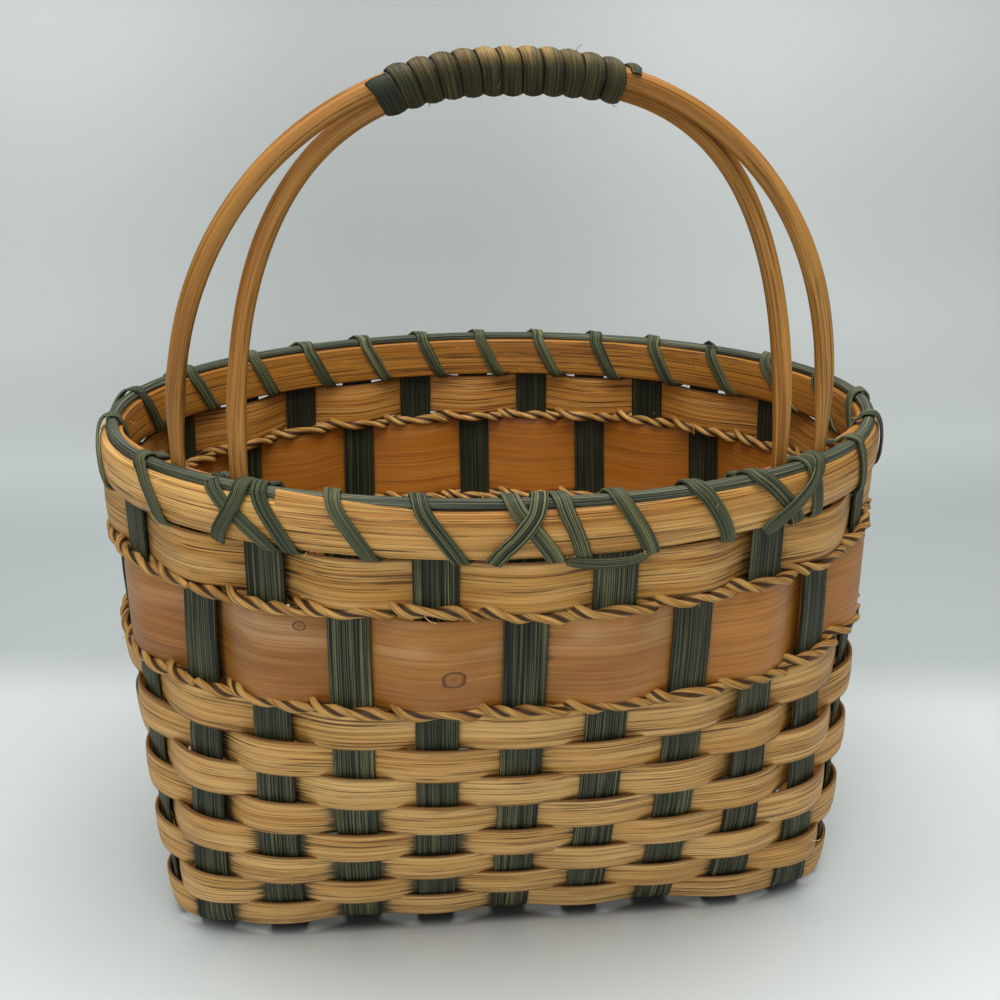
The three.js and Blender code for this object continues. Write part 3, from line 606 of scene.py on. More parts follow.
def strand_tree(finish):
    """A cord along a path: a section of two straws side by side that rolls as the cord twists."""
    given = new_tree("rush_strand", {"Cord Width": 0.004, "Cord Thickness": 0.002, "Waist": 0.4})

    def kept(name, curve, value):
        return given.node("GeometryNodeStoreNamedAttribute", {"Geometry": curve, "Name": name, "Value": value},
                          data_type="FLOAT", domain="POINT")

    line = given.node("GeometryNodeMeshToCurve", {"Mesh": given})
    loop = given.node("GeometryNodeSetSplineCyclic", {"Geometry": line, "Cyclic": True})
    roll = given.node("GeometryNodeInputNamedAttribute", {"Name": "roll"}, data_type="FLOAT")
    tilted = given.node("GeometryNodeSetCurveTilt", {"Curve": loop, "Tilt": roll})
    cord = kept("run", tilted, given.node("GeometryNodeSplineParameter", None, "Length"))
    ring = given.node("GeometryNodeCurvePrimitiveCircle", {"Resolution": 18, "Radius": 0.5})
    ring = kept("girth", ring, given.node("GeometryNodeSplineParameter", None, "Factor"))
    spot = given.node("ShaderNodeSeparateXYZ", {0: given.node("GeometryNodeInputPosition")})
    thinned = spot.at("Y") * (1 - (1 - spot * spot * 4.0) * given.at("Waist"))
    pinched = given.node("ShaderNodeCombineXYZ", {"X": spot, "Y": thinned})
    lobes = given.node("GeometryNodeSetPosition", {"Geometry": ring, "Position": pinched})
    size = given.node("ShaderNodeCombineXYZ", {"X": given.at("Cord Width"), "Y": given.at("Cord Thickness")})
    shape = given.node("GeometryNodeTransform", {"Geometry": lobes, "Scale": size})
    tube = given.node("GeometryNodeCurveToMesh", {"Curve": cord, "Profile Curve": shape})
    return end_tree(given.node("GeometryNodeSetShadeSmooth", {"Geometry": tube}), finish)


def grown(piece, tree, **values):
    """Runs a node tree on a piece with its named inputs, and keeps the plain mesh it makes."""
    change = piece.modifiers.new(tree.name, "NODES")
    change.node_group = tree
    for item in tree.interface.items_tree:
        if item.in_out == "INPUT" and item.name in values:
            change[item.identifier] = values[item.name]
    bpy.context.view_layer.update()
    ready = piece.evaluated_get(bpy.context.evaluated_depsgraph_get())
    mesh = bpy.data.meshes.new_from_object(ready)
    piece.modifiers.remove(change)
    piece.data = mesh


def strand_path(height, side):
    """One cord of a twined pair: in front of or behind each stake, changing sides between them."""
    number = np.arange(stake_count * twine_steps) / twine_steps + 1
    whole, part = np.floor(number), number - np.floor(number)
    turn = np.pi * (whole + ease((part - 0.22) / 0.56) + side)
    away = np.cos(turn) * (2.35 + drift(len(number), 0.12, 14))
    near_foot = np.max([1 - ease((np.abs(apart(number, foot)) - 0.2) / 0.25) for foot in foot_stakes], axis=0)
    away = np.where(away < 0, away - 2.9 * near_foot * np.abs(np.cos(turn)), away)
    path, _ = on_wall(height, number, away)
    path[:, 2] += wave_of[height] - np.sin(turn) * 1.1
    return path, lengths(path) * 1000 / cord_lay * 2 * np.pi + drift(len(path), 0.6, 40)


wave_of = {height: drift(stake_count * twine_steps, 0.55, 10) for height in (lower_twine, upper_twine)}
twine_tree = strand_tree(rush("twined_rush"))
for name, height, side in (("lower_twining_a", lower_twine, 0), ("lower_twining_b", lower_twine, 1),
                           ("upper_twining_a", upper_twine, 0), ("upper_twining_b", upper_twine, 1)):
    path, roll = strand_path(height, side)
    mesh = bpy.data.meshes.new("rush_" + name)
    count = len(path)
    mesh.from_pydata((path * 0.001).tolist(), [(i, (i + 1) % count) for i in range(count)], [])
    mesh.attributes.new("roll", "FLOAT", "POINT").data.foreach_set("value", roll + dice.uniform(0, 3))
    strand = stand("rush_" + name, mesh)
    grown(strand, twine_tree, **{"Cord Width": cord_wide * 0.001, "Cord Thickness": cord_thick * 0.001,
                                 "Waist": cord_waist})
    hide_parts(name)
    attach(strand, "root")


# Rim strips. A half-round strip of pale golden wood outside the wall and a flat darker one
# inside it clamp the stake ends. The inner one bows in round the handle's feet.
rim_face, foot_bulge = 1.2, 3.7
foot_pairs = ((1.16, 0.46), (8.665, 0.405))


def foot_share(stake):
    """How far a place on the rim is drawn in by the feet of the handle, from 0 to 1."""
    away = np.min([np.abs(apart(np.asarray(stake), middle)) - half for middle, half in foot_pairs], axis=0)
    return ease((1.75 - away) / 1.5)


def rim_section(*upper):
    """A rim strip's section as (depth, height), from the middle of its back over the top, and so below."""
    lower = [(depth, round(rim_high - rim_low - height, 2)) for depth, height in upper[-2:0:-1]]
    return np.roll(np.array([*upper, *lower]), 2, axis=0)


outer_section = rim_section((0.0, 7.1), (0.0, 10.6), (0.0, 13.6), (0.2, 14.1), (0.8, 14.15), (1.4, 13.8),
                            (1.95, 13.0), (2.35, 11.6), (2.56, 9.6), (2.62, 7.1))
inner_section = rim_section((0.0, 7.1), (0.0, 10.6), (0.0, 13.9), (0.3, 14.15), (1.2, 14.2), (2.1, 14.15),
                            (2.45, 13.95), (2.58, 13.5), (2.62, 10.6), (2.62, 7.1))
outer_rim_finish = plain_reed("golden_outer_rim_wood", (238, 188, 112), (172, 116, 45), (140, 88, 32),
                              (88, 52, 18), 0.36, 0.9)
inner_rim_finish = plain_reed("brown_inner_rim_wood", (190, 130, 50), (158, 100, 32), (112, 66, 20),
                              (60, 32, 8), 0.38)


def make_rim(name, way, section, bulge, finish, node):
    share = foot_share(round_wall)
    sag = drift(len(round_wall), 0.25, 5)
    grid = laid(round_wall, [(min(rim_low + rise, rim_high), way * (rim_face + depth + bulge * share),
                              rim_low + rise + sag) for depth, rise in section])
    near = np.zeros(len(round_wall))
    for stake in range(1, stake_count + 1):
        gap = apart(round_wall, stake + 0.42)
        near = np.maximum(near, dice.uniform(0.1, 0.7) * np.exp(-(gap / 0.12) ** 2))
    dye = near[:, None] * np.clip(1 - section[:, 1] / 7, 0, 1)
    # Painted light and shade along both rims: lighter towards the left and right ends and round the back, darker
    # across the front middle, with random mottling over it.
    painted_light_by_place = np.interp(round_wall, (1, 2.5, 4.5, 6.0, 7.5, 9, 27), (1.1, 0.8, 0.0, 0.15, 0.65, 0.6, 1.1))
    tone = mottled(painted_light_by_place, len(round_wall), 0.2)
    piece = skin(name, from_seam(grid), section, True, finish, lot=dice.uniform(), tone=from_seam(tone),
                 dye=from_seam(dye))
    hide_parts(node)
    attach(piece, "root")


make_rim("golden_outer_rim", 1, outer_section, 0.0, outer_rim_finish, "outer_rim")
make_rim("brown_inner_rim", -1, inner_section, foot_bulge, inner_rim_finish, "inner_rim")


# Rim filler. One length of round reed, dyed like the stakes, lies along the top of the two rim
# strips, where it hides the cut stake ends. The lashing alone holds it down.
filler_radius, filler_lift, filler_shift = 1.9, 1.1, 0.4
filler_finish = dyed_reed("dyed_filler_reed", (42, 50, 43), (76, 85, 70), (116, 120, 96), (158, 156, 122), 0.42)
turns = np.linspace(0, 2 * np.pi, 16, endpoint=False)
filler_section = np.stack([np.cos(turns) * 1.05, np.sin(turns) * 0.92], -1) * filler_radius
filler_away = filler_shift * foot_share(round_wall) + drift(len(round_wall), 0.2, 14)
filler_grid = laid(round_wall, [(rim_high, filler_away + depth, rim_high + filler_lift + rise)
                                for depth, rise in filler_section])
filler = skin("dyed_rim_filler", from_seam(filler_grid), filler_section, True, filler_finish, lot=dice.uniform(),
              tone=mottled(0.4, len(round_wall), 0.3))
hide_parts("rim_filler")
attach(filler, "root")


# Rim lashing. Two lengths of thin dyed flat reed bind the rims: each turn slants down over the
# outer strip, goes through the wall in the gap under the rims, and comes up inside.
lash_width, lash_thick = 4.6, 0.85
front_turns = ((1.39, 2.27), (2.02, 2.46), (2.88, 3.38), (3.82, 4.31), (4.8, 5.34), (5.94, 6.39), (6.85, 7.33),
               (7.66, 8.38), (8.5, 8.72), (9.5, 9.64), (10.4, 10.6), (11.3, 11.55), (12.2, 12.5), (13.1, 13.5))
back_turns = tuple((stake - 0.1, stake + 0.5) for stake in range(14, 26)) + ((26.34, 26.72),)
lash_finish = dyed_reed("dyed_lashing_reed", (46, 55, 43), (76, 86, 64), (112, 113, 76), (152, 146, 98), 0.42)


def lash_turn(start, under, end):
    """Key places of one turn: stake number, distance out, height, and the way its face looks."""
    top, low, mid = rim_high, rim_low, (rim_low + rim_high) / 2
    under += dice.normal() * 0.012
    bow = np.interp(start, (1, 4, 6, 9), (1.3, 1.15, 0.9, 0.8)) + dice.normal() * 0.05
    outer_down = [start + 0.01 + (under - 0.04 - start) * part ** bow for part in (0.17, 0.38, 0.62, 0.85, 0.98)]
    inner_up = [under + 0.04 + (end - 0.05 - under) * part for part in (0.0, 0.25, 0.5, 0.75, 0.93)]
    return [(start, 0.0, top + 3.5, 0, 1), (start + 0.03, 2.3, top + 2.8, 0.75, 0.66),
            (outer_down[0], 3.75, top + 0.3, 0.96, 0.25), (outer_down[1], 4.4, top - 3.2, 1, 0.1),
            (outer_down[2], 4.6, mid, 1, 0), (outer_down[3], 4.4, low + 2.8, 1, -0.1),
            (outer_down[4], 3.5, low - 0.1, 0.75, -0.65), (under - 0.015, 1.3, low - 0.85, 0.15, -1),
            (under + 0.01, -1.3, low - 0.85, -0.15, -1), (inner_up[0], -3.5, low - 0.1, -0.75, -0.65),
            (inner_up[1], -4.3, low + 3.0, -1, -0.1), (inner_up[2], -4.55, mid, -1, 0),
            (inner_up[3], -4.3, top - 2.8, -1, 0.1), (inner_up[4], -3.5, top + 0.4, -0.95, 0.3),
            (end - 0.03, -2.3, top + 2.8, -0.7, 0.7)]


def smooth_run(keys, fine):
    """A smooth run through key places, with the same number of steps in each span."""
    keys = np.array(keys, float)
    ends = np.concatenate([2 * keys[:1] - keys[1:2], keys, 2 * keys[-1:] - keys[-2:-1]])
    t = np.linspace(0, 1, fine, endpoint=False)[:, None]
    runs = []
    for i in range(len(keys) - 1):
        a, b, c, d = ends[i:i + 4]
        runs.append(0.5 * (2 * b + (c - a) * t + (2 * a - 5 * b + 4 * c - d) * t ** 2
                           + (3 * b - a - 3 * c + d) * t ** 3))
    return np.concatenate(runs + [keys[-1:]])


def rim_ribbon(name, keys, width, thick, node, faded=0.35):
    """A flat strip that follows key places round the rim."""
    run = smooth_run(keys, 4)
    path, outs = [], []
    for stake, away, height, out_part, up_part in run:
        share = float(foot_share(stake))
        if height > rim_high + filler_lift:
            away += filler_shift * share
        elif away < 0:
            away -= foot_bulge * share
        spot, out = on_wall(min(height, rim_high), stake, away)
        spot[2] = height
        path.append(spot)
        outs.append(out * out_part + np.array([0, 0, up_part]))
    path, outs = np.array(path), unit(np.array(outs))
    profile = reed_profile(width, thick, 0.25)
    grid = sweep(path, None, outs, profile, 1 + drift(len(path), 0.05, 30))
    faded = faded + np.interp(run[:, 0], (1, 4, 5, 6.5, 8, 14), (-0.25, 0, 0.45, 0.5, 0.2, 0))
    tone = mottled(faded, len(path), 0.3, 24)
    piece = skin(name, grid, profile, False, lash_finish, lot=dice.uniform(), tone=tone)
    if node:
        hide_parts(node)
    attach(piece, "root")


for name, turns, last in (("rim_lashing_front", front_turns, back_turns[0][0]),
                          ("rim_lashing_back", back_turns, front_turns[0][0] + stake_count)):
    ends = [start for start, _ in turns[1:]] + [last]
    keys = [place for (start, under), end in zip(turns, ends) for place in lash_turn(start, under, end)]
    rim_ribbon("dyed_" + name, keys[1:], lash_width, lash_thick, name)


# Cross ties. Three short ends of the same dyed reed cross the lashing the other way on the
# front, where a length was joined or drawn tight, and tuck in behind the inner rim.
tie_places = ((1.5, 1.84, 0.0), (4.62, 5.12, 1.1), (7.8, 8.7, 0.5))
for number, (foot, head, faded) in enumerate(tie_places, 1):
    top, low, mid = rim_high, rim_low, (rim_low + rim_high) / 2
    keys = [(0.0, 3.9, low - 0.3, 0.9, -0.4), (0.08, 4.7, low + 1.2, 1, -0.1), (0.23, 5.6, low + 3.9, 1, 0),
            (0.47, 5.9, mid, 1, 0), (0.69, 5.6, top - 3.7, 1, 0), (0.88, 4.5, top - 0.4, 1, 0.25),
            (0.97, 2.5, top + 3.0, 0.75, 0.66), (1.0, 0.0, top + 3.7, 0, 1), (1.0, -2.4, top + 3.0, -0.75, 0.66),
            (0.97, -3.8, top + 0.5, -0.96, 0.25), (0.95, -4.5, top - 2.6, -1, 0), (0.9, -4.6, top - 5.7, -1, 0)]
    rim_ribbon(f"dyed_cross_tie_{number}", [(foot + (head - foot) * k, n, z, a, b) for k, n, z, a, b in keys],
               lash_width, lash_thick, f"cross_tie_{number}", faded)


# Loose ends. The lashing was spliced beside the middle tie: one more turn goes over the rim there,
# and an end was left lying under the rim in front of a stake. The outer rim strip's end is pared
# to lap over the strip beside the filler, and one row has a sliver split off along its edge.
splice_top, splice_under = 5.32, 5.64
splice = lash_turn(splice_top, splice_under, splice_under + 0.4)[:8]
splice.insert(0, (splice_top - 0.01, -2.3, rim_high + 2.8, -0.7, 0.7))
splice.insert(0, (splice_top - 0.02, -3.9, rim_high - 1.2, -1, 0.2))
rim_ribbon("spliced_lashing_turn", splice, lash_width, lash_thick, None)
loose_end = [(5.4, 3.6, -0.4, 0.8, -0.6), (5.5, 4.2, -0.9, 0.9, -0.5), (5.7, 4.5, -1.6, 0.9, -0.4),
             (5.9, 4.5, -1.9, 0.9, -0.4), (6.1, 4.4, -1.7, 0.9, -0.5), (6.25, 4.0, -0.9, 0.9, -0.5),
             (6.34, 3.3, -0.2, 0.8, -0.6)]
rim_ribbon("loose_lashing_end", [(k, n, rim_low + z, a, b) for k, n, z, a, b in loose_end], 3.6, lash_thick, None)
lap_place, lap_share = np.linspace(2.26, 3.95, 40), np.linspace(1, 0, 40)
lap_high, lap_thick = 0.5 + 3.2 * lap_share ** 0.8, 0.5 + 0.7 * lap_share
lap_section = reed_profile(1.0, 1.0, 0.05)
lap_grid = laid(lap_place, [(rim_high, 2.45 + depth * lap_thick - 0.25 * across * lap_high,
                             rim_high - 0.7 + (across + 0.5) * lap_high) for across, depth in lap_section])
lap = skin("pared_rim_lap", lap_grid, lap_section * (3.0, 1.0), False, outer_rim_finish,
           lot=dice.uniform(), tone=1.0)
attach(lap, "root")
sliver_row, sliver_place = 5, np.linspace(4.72, 5.52, 24)
sliver_middle = weaver_rows[sliver_row][1] + weaver_tuck - 0.5
sliver_swing = weaver_spring * (0.1 + 0.9 * np.cos(np.pi * (sliver_place - 5)))
sliver_size = 0.25 + 0.75 * np.sin(np.linspace(0.1, 3.0, 24)) ** 0.5
sliver_section = reed_profile(1.3, 0.7, 0.1)
sliver_rise = sliver_middle + weaver_lean * sliver_swing
sliver_grid = laid(sliver_place, [(sliver_middle, sliver_swing + 1.1 + depth * sliver_size,
                                   sliver_rise + across * sliver_size) for across, depth in sliver_section])
sliver = skin("split_row_sliver", sliver_grid, sliver_section, False, weaver_finish,
              lot=dice.uniform(), tone=1.0)
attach(sliver, "root")


# Handle hoops. Two round rods, steamed and bent into nested arches. Their feet are pared to flat
# tongues and slid down behind the front stakes, under the weavers that pass inside.
rod_radius = 2.7
rise, hoop_lean, hoop_drop, hoop_spread = 110.0, 4.0, 4.4, 5.2
outer_legs, inner_legs = (0.7, 9.07), (1.62, 8.26)
outer_full, inner_full = (2.13, 2.25), (2.5, 2.78)
leg_offset, tail_offset = -3.25, -2.35
tail_half, tail_top = (3.0, 1.25), 156.7
pared_run, pared_from = 30.0, 4.9
rod_finish = plain_reed("golden_hoop_rod", (204, 150, 78), (160, 104, 38), (124, 76, 26), (84, 48, 16), 0.36, 0.55)
outer_foot, inner_foot = (on_wall(rim_high, legs, leg_offset)[0] for legs in (outer_legs, inner_legs))
handle_y = (outer_foot[0][1] + inner_foot[0][1]) / 2 - hoop_lean


def arch(feet, height, top_y, left_full, right_full):
    """A hoop's curve above the rim, by the way and the angle up it, and by the place across it."""
    left, right = feet
    middle, half = (left[0] + right[0]) / 2, (right[0] - left[0]) / 2

    def leaned(on_left, x, z):
        foot_y = np.where(on_left, left[1], right[1])
        y = foot_y + (top_y - foot_y) * ease((z - rim_high) / (0.75 * height))
        return np.stack([x, y, z], -1)

    def place(way, angle):
        power = 2 / np.where(way < 0, left_full, right_full)
        x = middle + way * half * np.maximum(np.cos(angle), 0) ** power
        return leaned(way < 0, x, rim_high + height * np.sin(angle) ** power)

    def over(x):
        full = np.where(x < middle, left_full, right_full)
        return leaned(x < middle, x, rim_high + height * (1 - np.abs((x - middle) / half) ** full) ** (1 / full))

    return place, over


outer_arch, outer_over = arch(outer_foot, rise, handle_y - hoop_spread / 2, *outer_full)
inner_arch, inner_over = arch(inner_foot, rise - hoop_drop, handle_y + hoop_spread / 2, *inner_full)


def make_hoop(name, curve, feet, rim_places, node):
    legs = []
    for way, stake, rim_place in zip((-1, 1), feet, rim_places):
        tail = [on_wall(z, stake, tail_offset) for z in np.linspace(tail_bottom, tail_top, 30)]
        for t in np.linspace(0, 1, 8)[1:-1]:
            tail.append(on_wall(tail_top + (rim_high - tail_top) * t, stake + (rim_place - stake) * t,
                                tail_offset + (leg_offset - tail_offset) * t))
        points, outs = np.array([p for p, _ in tail]), np.array([o for _, o in tail])
        angle = np.linspace(0, np.pi / 2, 90) ** 1.35 / (np.pi / 2) ** 0.35
        above = curve(np.full(len(angle), way), np.maximum(angle, 1e-6))
        foot_out = on_wall(rim_high, rim_place)[1]
        turn = ease((above[:, 2] - rim_high - 5) / pared_run)[:, None]
        above_out = foot_out * (1 - turn) + np.array([0, -1.0, 0]) * turn
        legs.append((np.concatenate([points, above]), np.concatenate([outs, above_out])))
    path, out = (np.concatenate([left, right[-2::-1]]) for left, right in zip(*legs))
    ahead = unit(np.gradient(path, axis=0))
    wide = unit(np.cross(ahead, out))
    deep = np.cross(wide, ahead)
    full_round = ease((path[:, 2] - rim_high - pared_from) / pared_run)
    half_wide = tail_half[0] + (rod_radius - tail_half[0]) * full_round + drift(len(path), 0.06, 12) * full_round
    half_deep = tail_half[1] + (rod_radius - tail_half[1]) * full_round
    around = np.linspace(0, 2 * np.pi, 20, endpoint=False)
    ring = np.stack([np.cos(around), np.sin(around)], -1)
    ring = np.sign(ring) * np.abs(ring) ** 0.9
    grid = sections(path, wide, deep, half_wide[:, None] * ring[:, 0], half_deep[:, None] * ring[:, 1])
    tone = mottled(0.5, len(path), 0.25)
    # Painted shade on the rods under the grip wrap: the dye mark is set there, so slivers seen between the turns
    # are dark.
    shade_under_grip = (np.abs(path[:, 0] + 3) < 30) & (path[:, 2] > rim_high + rise / 2)
    piece = skin(name, grid, ring * rod_radius, False, rod_finish, lot=dice.uniform(), tone=tone, dye=shade_under_grip)
    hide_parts(node)
    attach(piece, "root")


make_hoop("golden_outer_hoop", outer_arch, (1, 9), outer_legs, "outer_hoop")
make_hoop("golden_inner_hoop", inner_arch, (2, 8), inner_legs, "inner_hoop")


# Grip wrap. One length of dyed flat reed wound a dozen times round both rods where the hand
# holds them. The tops of the middle turns are straw coloured: partly dye worn away, partly a
# painted highlight on the faces turned up to the light.
grip_from, grip_to, grip_turns, grip_steps = -34.5, 28.5, 12, 48
grip_width, grip_thick, grip_slack = 5.3, 0.9, 0.2


def worn_grip(name):
    finish, shader, dab = new_finish(name)
    fibre = grain(dab, 30.0, 1900.0, 2.0, 3.0)
    thread = grain(dab, 40.0, 4200.0, 1.0, 13.0)
    patch = grain(dab, 90.0, 300.0, 3.0, 27.0)
    worn = dab.mark("worn")
    colour = fibre.between(0.36, 0.64).blend((38, 40, 25), (78, 74, 46)).coats(
        (dab.mark("tone") * 0.8, (40, 54, 46)),
        # straw tops of the middle turns: partly wear, partly a painted highlight
        (worn * patch.between(0.34, 0.56), (176, 142, 78)),
        (thread.between(0.54, 0.64) * (0.2 + worn * 0.4), (164, 142, 86)),
        (thread.between(0.48, 0.4) * 0.5, (28, 28, 18)),
        # painted shade in the crevices between the turns
        (dab.mark("edge") * 0.9, (16, 17, 11)))
    settle(dab, shader, colour, patch * 0.2 + 0.42, 0.8, fibre * 0.4 + thread * 0.6, 0.0008, 0.3)
    return finish


count = grip_turns * grip_steps + 1
part = np.linspace(0, 1, count)
x = grip_from + (grip_to - grip_from) * part + drift(count, 0.15, 24)
upper, lower = outer_over(x), inner_over(x)
middle = (upper + lower) / 2
ahead = unit((outer_over(x + 0.5) + inner_over(x + 0.5)) / 2 - middle)
spread = upper - middle
spread -= ahead * np.sum(spread * ahead, axis=1, keepdims=True)
to_upper = unit(spread)
aside = np.cross(ahead, to_upper)
angle = 2 * np.pi * np.arange(count) / grip_steps
facing = to_upper * np.cos(angle)[:, None] + aside * np.sin(angle)[:, None]
reach = rod_radius + grip_slack + grip_thick / 2 + 0.06 * np.abs(drift(count, 1.0, 30))
shift = np.clip(np.cos(angle) * 2.2, -1, 1)
path = middle + spread * shift[:, None] + facing * reach[:, None]
profile = reed_profile(grip_width, grip_thick, 0.35)
profile[:, 1] -= 0.55 * (profile[:, 0] / (grip_width / 2)) ** 2
wide = 1 + 0.25 * np.exp(-(part * grip_turns / 0.5) ** 2) - 0.5 * ease((part * grip_turns - 11.75) / 0.25)
grid = sections(path, ahead, facing, wide[:, None] * profile[:, 0], profile[None, :, 1])
# Straw on the upward faces of the middle turns: partly wear, partly a painted highlight.
worn_and_lit_top = (np.clip(facing[:, 2] * 0.9 + 0.25, 0, 1) * np.exp(-((part - 0.55) / 0.3) ** 2)
            * mottled(0.7, count, 0.4, 20))
grip = skin("wound_grip_wrap", grid, profile, False, worn_grip("worn_grip_reed"), lot=dice.uniform(),
            tone=np.clip(1.1 - part * 9, 0, 1) + 0.5 * np.clip((part - 0.92) * 9, 0, 1), worn=worn_and_lit_top,
            edge=edge_mark(profile))
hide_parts("grip_wrap")
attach(grip, "root")


# Stray fibres. Hairs of reed that lift from the rim, the lashing, the twining, the rows and the
# grip, as cut and handled reed does. Each is a thin curved splinter rooted in its strip.
fibre_radius = 0.00008


def fibre_tree(finish):
    given = new_tree("stray_fibres", {"Fibres Per Square Metre": 900.0, "Fibre Length": 0.003,
                                      "Fibre Radius": fibre_radius, "Seed": 5})
    seed, long = given.at("Seed"), given.at("Fibre Length")
    roots = given.node("GeometryNodeDistributePointsOnFaces",
                       {"Mesh": given, "Density": given.at("Fibres Per Square Metre"), "Seed": seed})
    bent = given.node("GeometryNodeCurveQuadraticBezier", {"Resolution": 5, "Start": (0, 0, -0.05),
                                                           "Middle": (0.1, 0.0, 0.4), "End": (0.75, 0.1, 0.55)})
    size = given.node("ShaderNodeCombineXYZ", {"X": long, "Y": long, "Z": long})
    sized = given.node("GeometryNodeTransform", {"Geometry": bent, "Scale": size})
    section = given.node("GeometryNodeCurvePrimitiveCircle", {"Resolution": 4, "Radius": given.at("Fibre Radius")})
    tube = given.node("GeometryNodeCurveToMesh", {"Curve": sized, "Profile Curve": section, "Fill Caps": True})
    swing = given.node("FunctionNodeRandomValue", {"Min": (-0.7, -0.7, -3.14), "Max": (0.7, 0.7, 3.14),
                                                   "Seed": seed}, data_type="FLOAT_VECTOR")
    turned = given.node("FunctionNodeRotateRotation", {"Rotation": roots.at("Rotation"), "Rotate By": swing},
                        rotation_space="LOCAL")
    scale = given.node("FunctionNodeRandomValue", {2: 0.4, 3: 1.5, "Seed": seed}, 1, data_type="FLOAT")
    return end_tree(given.node("GeometryNodeInstanceOnPoints", {"Points": roots, "Instance": tube,
                                                                "Rotation": turned, "Scale": scale}), finish)


def fibre_finish(name, root, tip):
    finish, shader, dab = new_finish(name)
    place = dab.node("ShaderNodeTexCoord", None, 3)
    speck = dab.node("ShaderNodeTexNoise", {"Vector": place, "Scale": 300.0, "Detail": 1.0})
    settle(dab, shader, speck.between(0.4, 0.6).blend(root, tip), speck * 0.2 + 0.45, 0.2, speck, 0.0001)
    return finish


pale_fibres = fibre_tree(fibre_finish("pale_splinter", (196, 148, 84), (228, 190, 126)))
dyed_fibres = fibre_tree(fibre_finish("dyed_splinter", (64, 76, 62), (140, 142, 106)))
for name, hosts, tree, count, long, slot, seed in (
        ("stray_rim_fibres", ["golden_outer_rim", "brown_inner_rim"], pale_fibres,
         2200.0, 0.0022, "rim_wood", 5),
        ("stray_row_fibres", [f"plain_weaver_{row}" for row in range(1, 9)], pale_fibres,
         450.0, 0.003, "plain_reed", 6),
        ("stray_twine_fibres", ["rush_lower_twining_a", "rush_upper_twining_a", "rush_upper_twining_b"],
         pale_fibres, 3200.0, 0.003, "plain_reed", 7),
        ("stray_lash_fibres", ["dyed_rim_lashing_front", "dyed_rim_lashing_back", "dyed_rim_filler"], dyed_fibres,
         2600.0, 0.002, "dyed_reed", 8),
        ("stray_grip_fibres", ["wound_grip_wrap"], dyed_fibres, 2600.0, 0.002, "dyed_reed", 9)):
    points, faces = [], []
    for host in hosts:
        shape = bpy.data.objects[host].data
        faces += [[corner + len(points) for corner in face.vertices] for face in shape.polygons]
        points += [tuple(corner.co) for corner in shape.vertices]
    mesh = bpy.data.meshes.new(name)
    mesh.from_pydata(points, [], faces)
    fibres = stand(name, mesh)
    grown(fibres, tree, **{"Fibres Per Square Metre": count, "Fibre Length": long, "Fibre Radius": fibre_radius,
                           "Seed": seed})
    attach(fibres, "root")


# Studio. A pale sweep of floor and backdrop, soft light from above and in front, and the
# camera where the photograph was taken, a little above the rim and left of the middle.
floor_edge, sweep_radius, sweep_top = 0.75, 0.55, 2.4


def stage_sheet():
    across = np.linspace(-2.6, 2.6, 14)
    along = [(y, 0.0) for y in np.linspace(-1.6, floor_edge, 12)]
    along += [(floor_edge + sweep_radius * math.sin(turn), sweep_radius * (1 - math.cos(turn)))
              for turn in np.linspace(0, np.pi / 2, 14)[1:]]
    along += [(floor_edge + sweep_radius, z) for z in np.linspace(sweep_radius, sweep_top, 8)[1:]]
    cols = len(across)
    faces = [(r * cols + c, r * cols + c + 1, (r + 1) * cols + c + 1, (r + 1) * cols + c)
             for r in range(len(along) - 1) for c in range(cols - 1)]
    mesh = bpy.data.meshes.new("studio_sweep")
    mesh.from_pydata([(x, y, z) for y, z in along for x in across], [], faces)
    mesh.polygons.foreach_set("use_smooth", np.ones(len(faces), bool))
    return stand("studio_sweep", mesh)


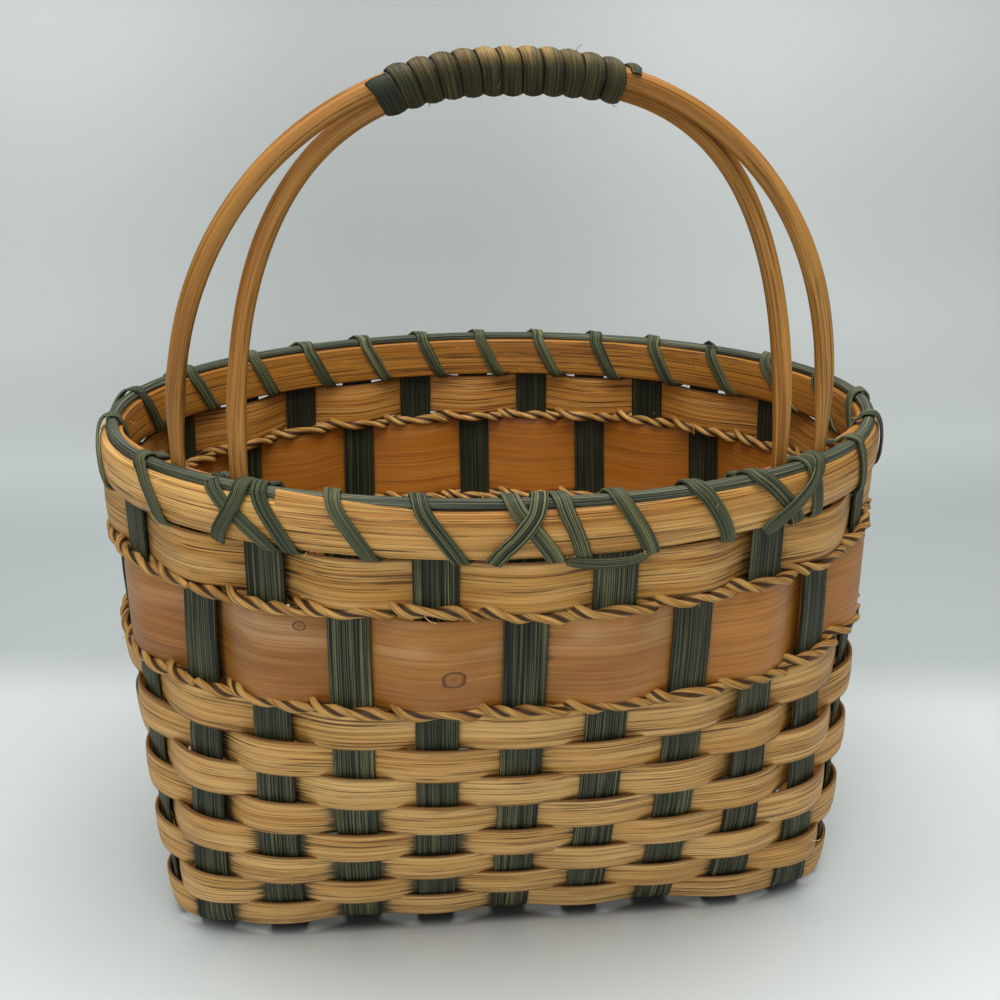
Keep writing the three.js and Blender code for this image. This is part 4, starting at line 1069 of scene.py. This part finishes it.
floor = stage_sheet()
floor_finish, floor_shader, floor_dab = new_finish("pale_paper_painted_shade")
spot = floor_dab.node("ShaderNodeSeparateXYZ", {0: floor_dab.node("ShaderNodeTexCoord", None, 3)})
far, up = spot.at(1), spot.at(2)
aside = floor_dab.reckon("ABSOLUTE", spot)
# A dark painted shadow on the floor under the basket's footprint, which shows through the open base and the gaps
# low in the wall.
shadow_footprint = (aside * 8.7) * (aside * 8.7), (far * 18.0) * (far * 18.0)
corner = [side * side * side for side in shadow_footprint]
under = (corner[0] + corner[1]).between(1.2, 0.6)
# The sweep's colour is painted light and shade: a little darker close round the basket, lighter a short way in
# front, darker again nearer the camera; darker behind the basket, growing lighter further back and lightest up the
# backdrop.
painted_light_and_shade = far.between(-0.04, -0.12).blend((201, 209, 210), (214, 222, 224)).coats(
    (far.between(-0.16, -0.3), (176, 184, 185)),
    ((far + spot * 0.12).between(0.085, 0.15), (170, 179, 180)),
    (far.between(0.3, 0.5), (196, 205, 205)),
    (far.between(0.5, 0.9), (217, 225, 225)),
    (up.between(0.06, 0.34), (243, 248, 250)),
    # painted shadow on the backdrop behind the basket, in the middle
    (aside.between(0.5, 0.05) * far.between(0.3, 0.7) * 0.33, (84, 92, 84)),
    # the dark painted shadow under the basket
    (under * 0.9, (34, 36, 34)))
floor_dab.tree.links.new(painted_light_and_shade.socket, floor_shader.inputs["Base Color"])
floor_shader.inputs["Roughness"].default_value = 0.6
floor.data.materials.append(floor_finish)

world = bpy.data.worlds.new("studio_air")
world.use_nodes = True
air = world.node_tree.nodes["Background"].inputs
air["Color"].default_value, air["Strength"].default_value = tint(232, 234, 234), 0.19
bpy.context.scene.world = world


def look_along(piece, way):
    """Turns a lamp or camera to look along a direction, with its top up."""
    piece.rotation_euler = way.to_track_quat("-Z", "Y").to_euler()


def soft_box(name, place, target, size, power):
    lamp = bpy.data.lights.new(name, "AREA")
    lamp.shape, lamp.size, lamp.energy, lamp.color = "SQUARE", size, power, (1.0, 0.98, 0.95)
    box = stand(name, lamp)
    box.location = place
    look_along(box, Vector(target) - Vector(place))


soft_box("overhead_box", (0.02, -0.12, 1.25), (0, 0.02, 0.1), 1.1, 20.0)
soft_box("front_box", (-0.35, -1.15, 0.65), (0, 0, 0.12), 0.9, 5.0)

photo_focal, photo_width = 1181.86, 1000
yaw, pitch = math.radians(-5.52), math.radians(20.57)
camera = bpy.data.cameras.new("photo_camera")
camera.sensor_width = 36.0
camera.lens = photo_focal * camera.sensor_width / photo_width
camera_object = stand("photo_camera", camera)
camera_object.location = (-0.03547, -0.38859, 0.28263)
look_along(camera_object, Vector((-math.sin(yaw) * math.cos(pitch), math.cos(yaw) * math.cos(pitch),
                                  -math.sin(pitch))))
bpy.context.scene.camera = camera_object
bpy.context.scene.view_settings.view_transform = "Standard"
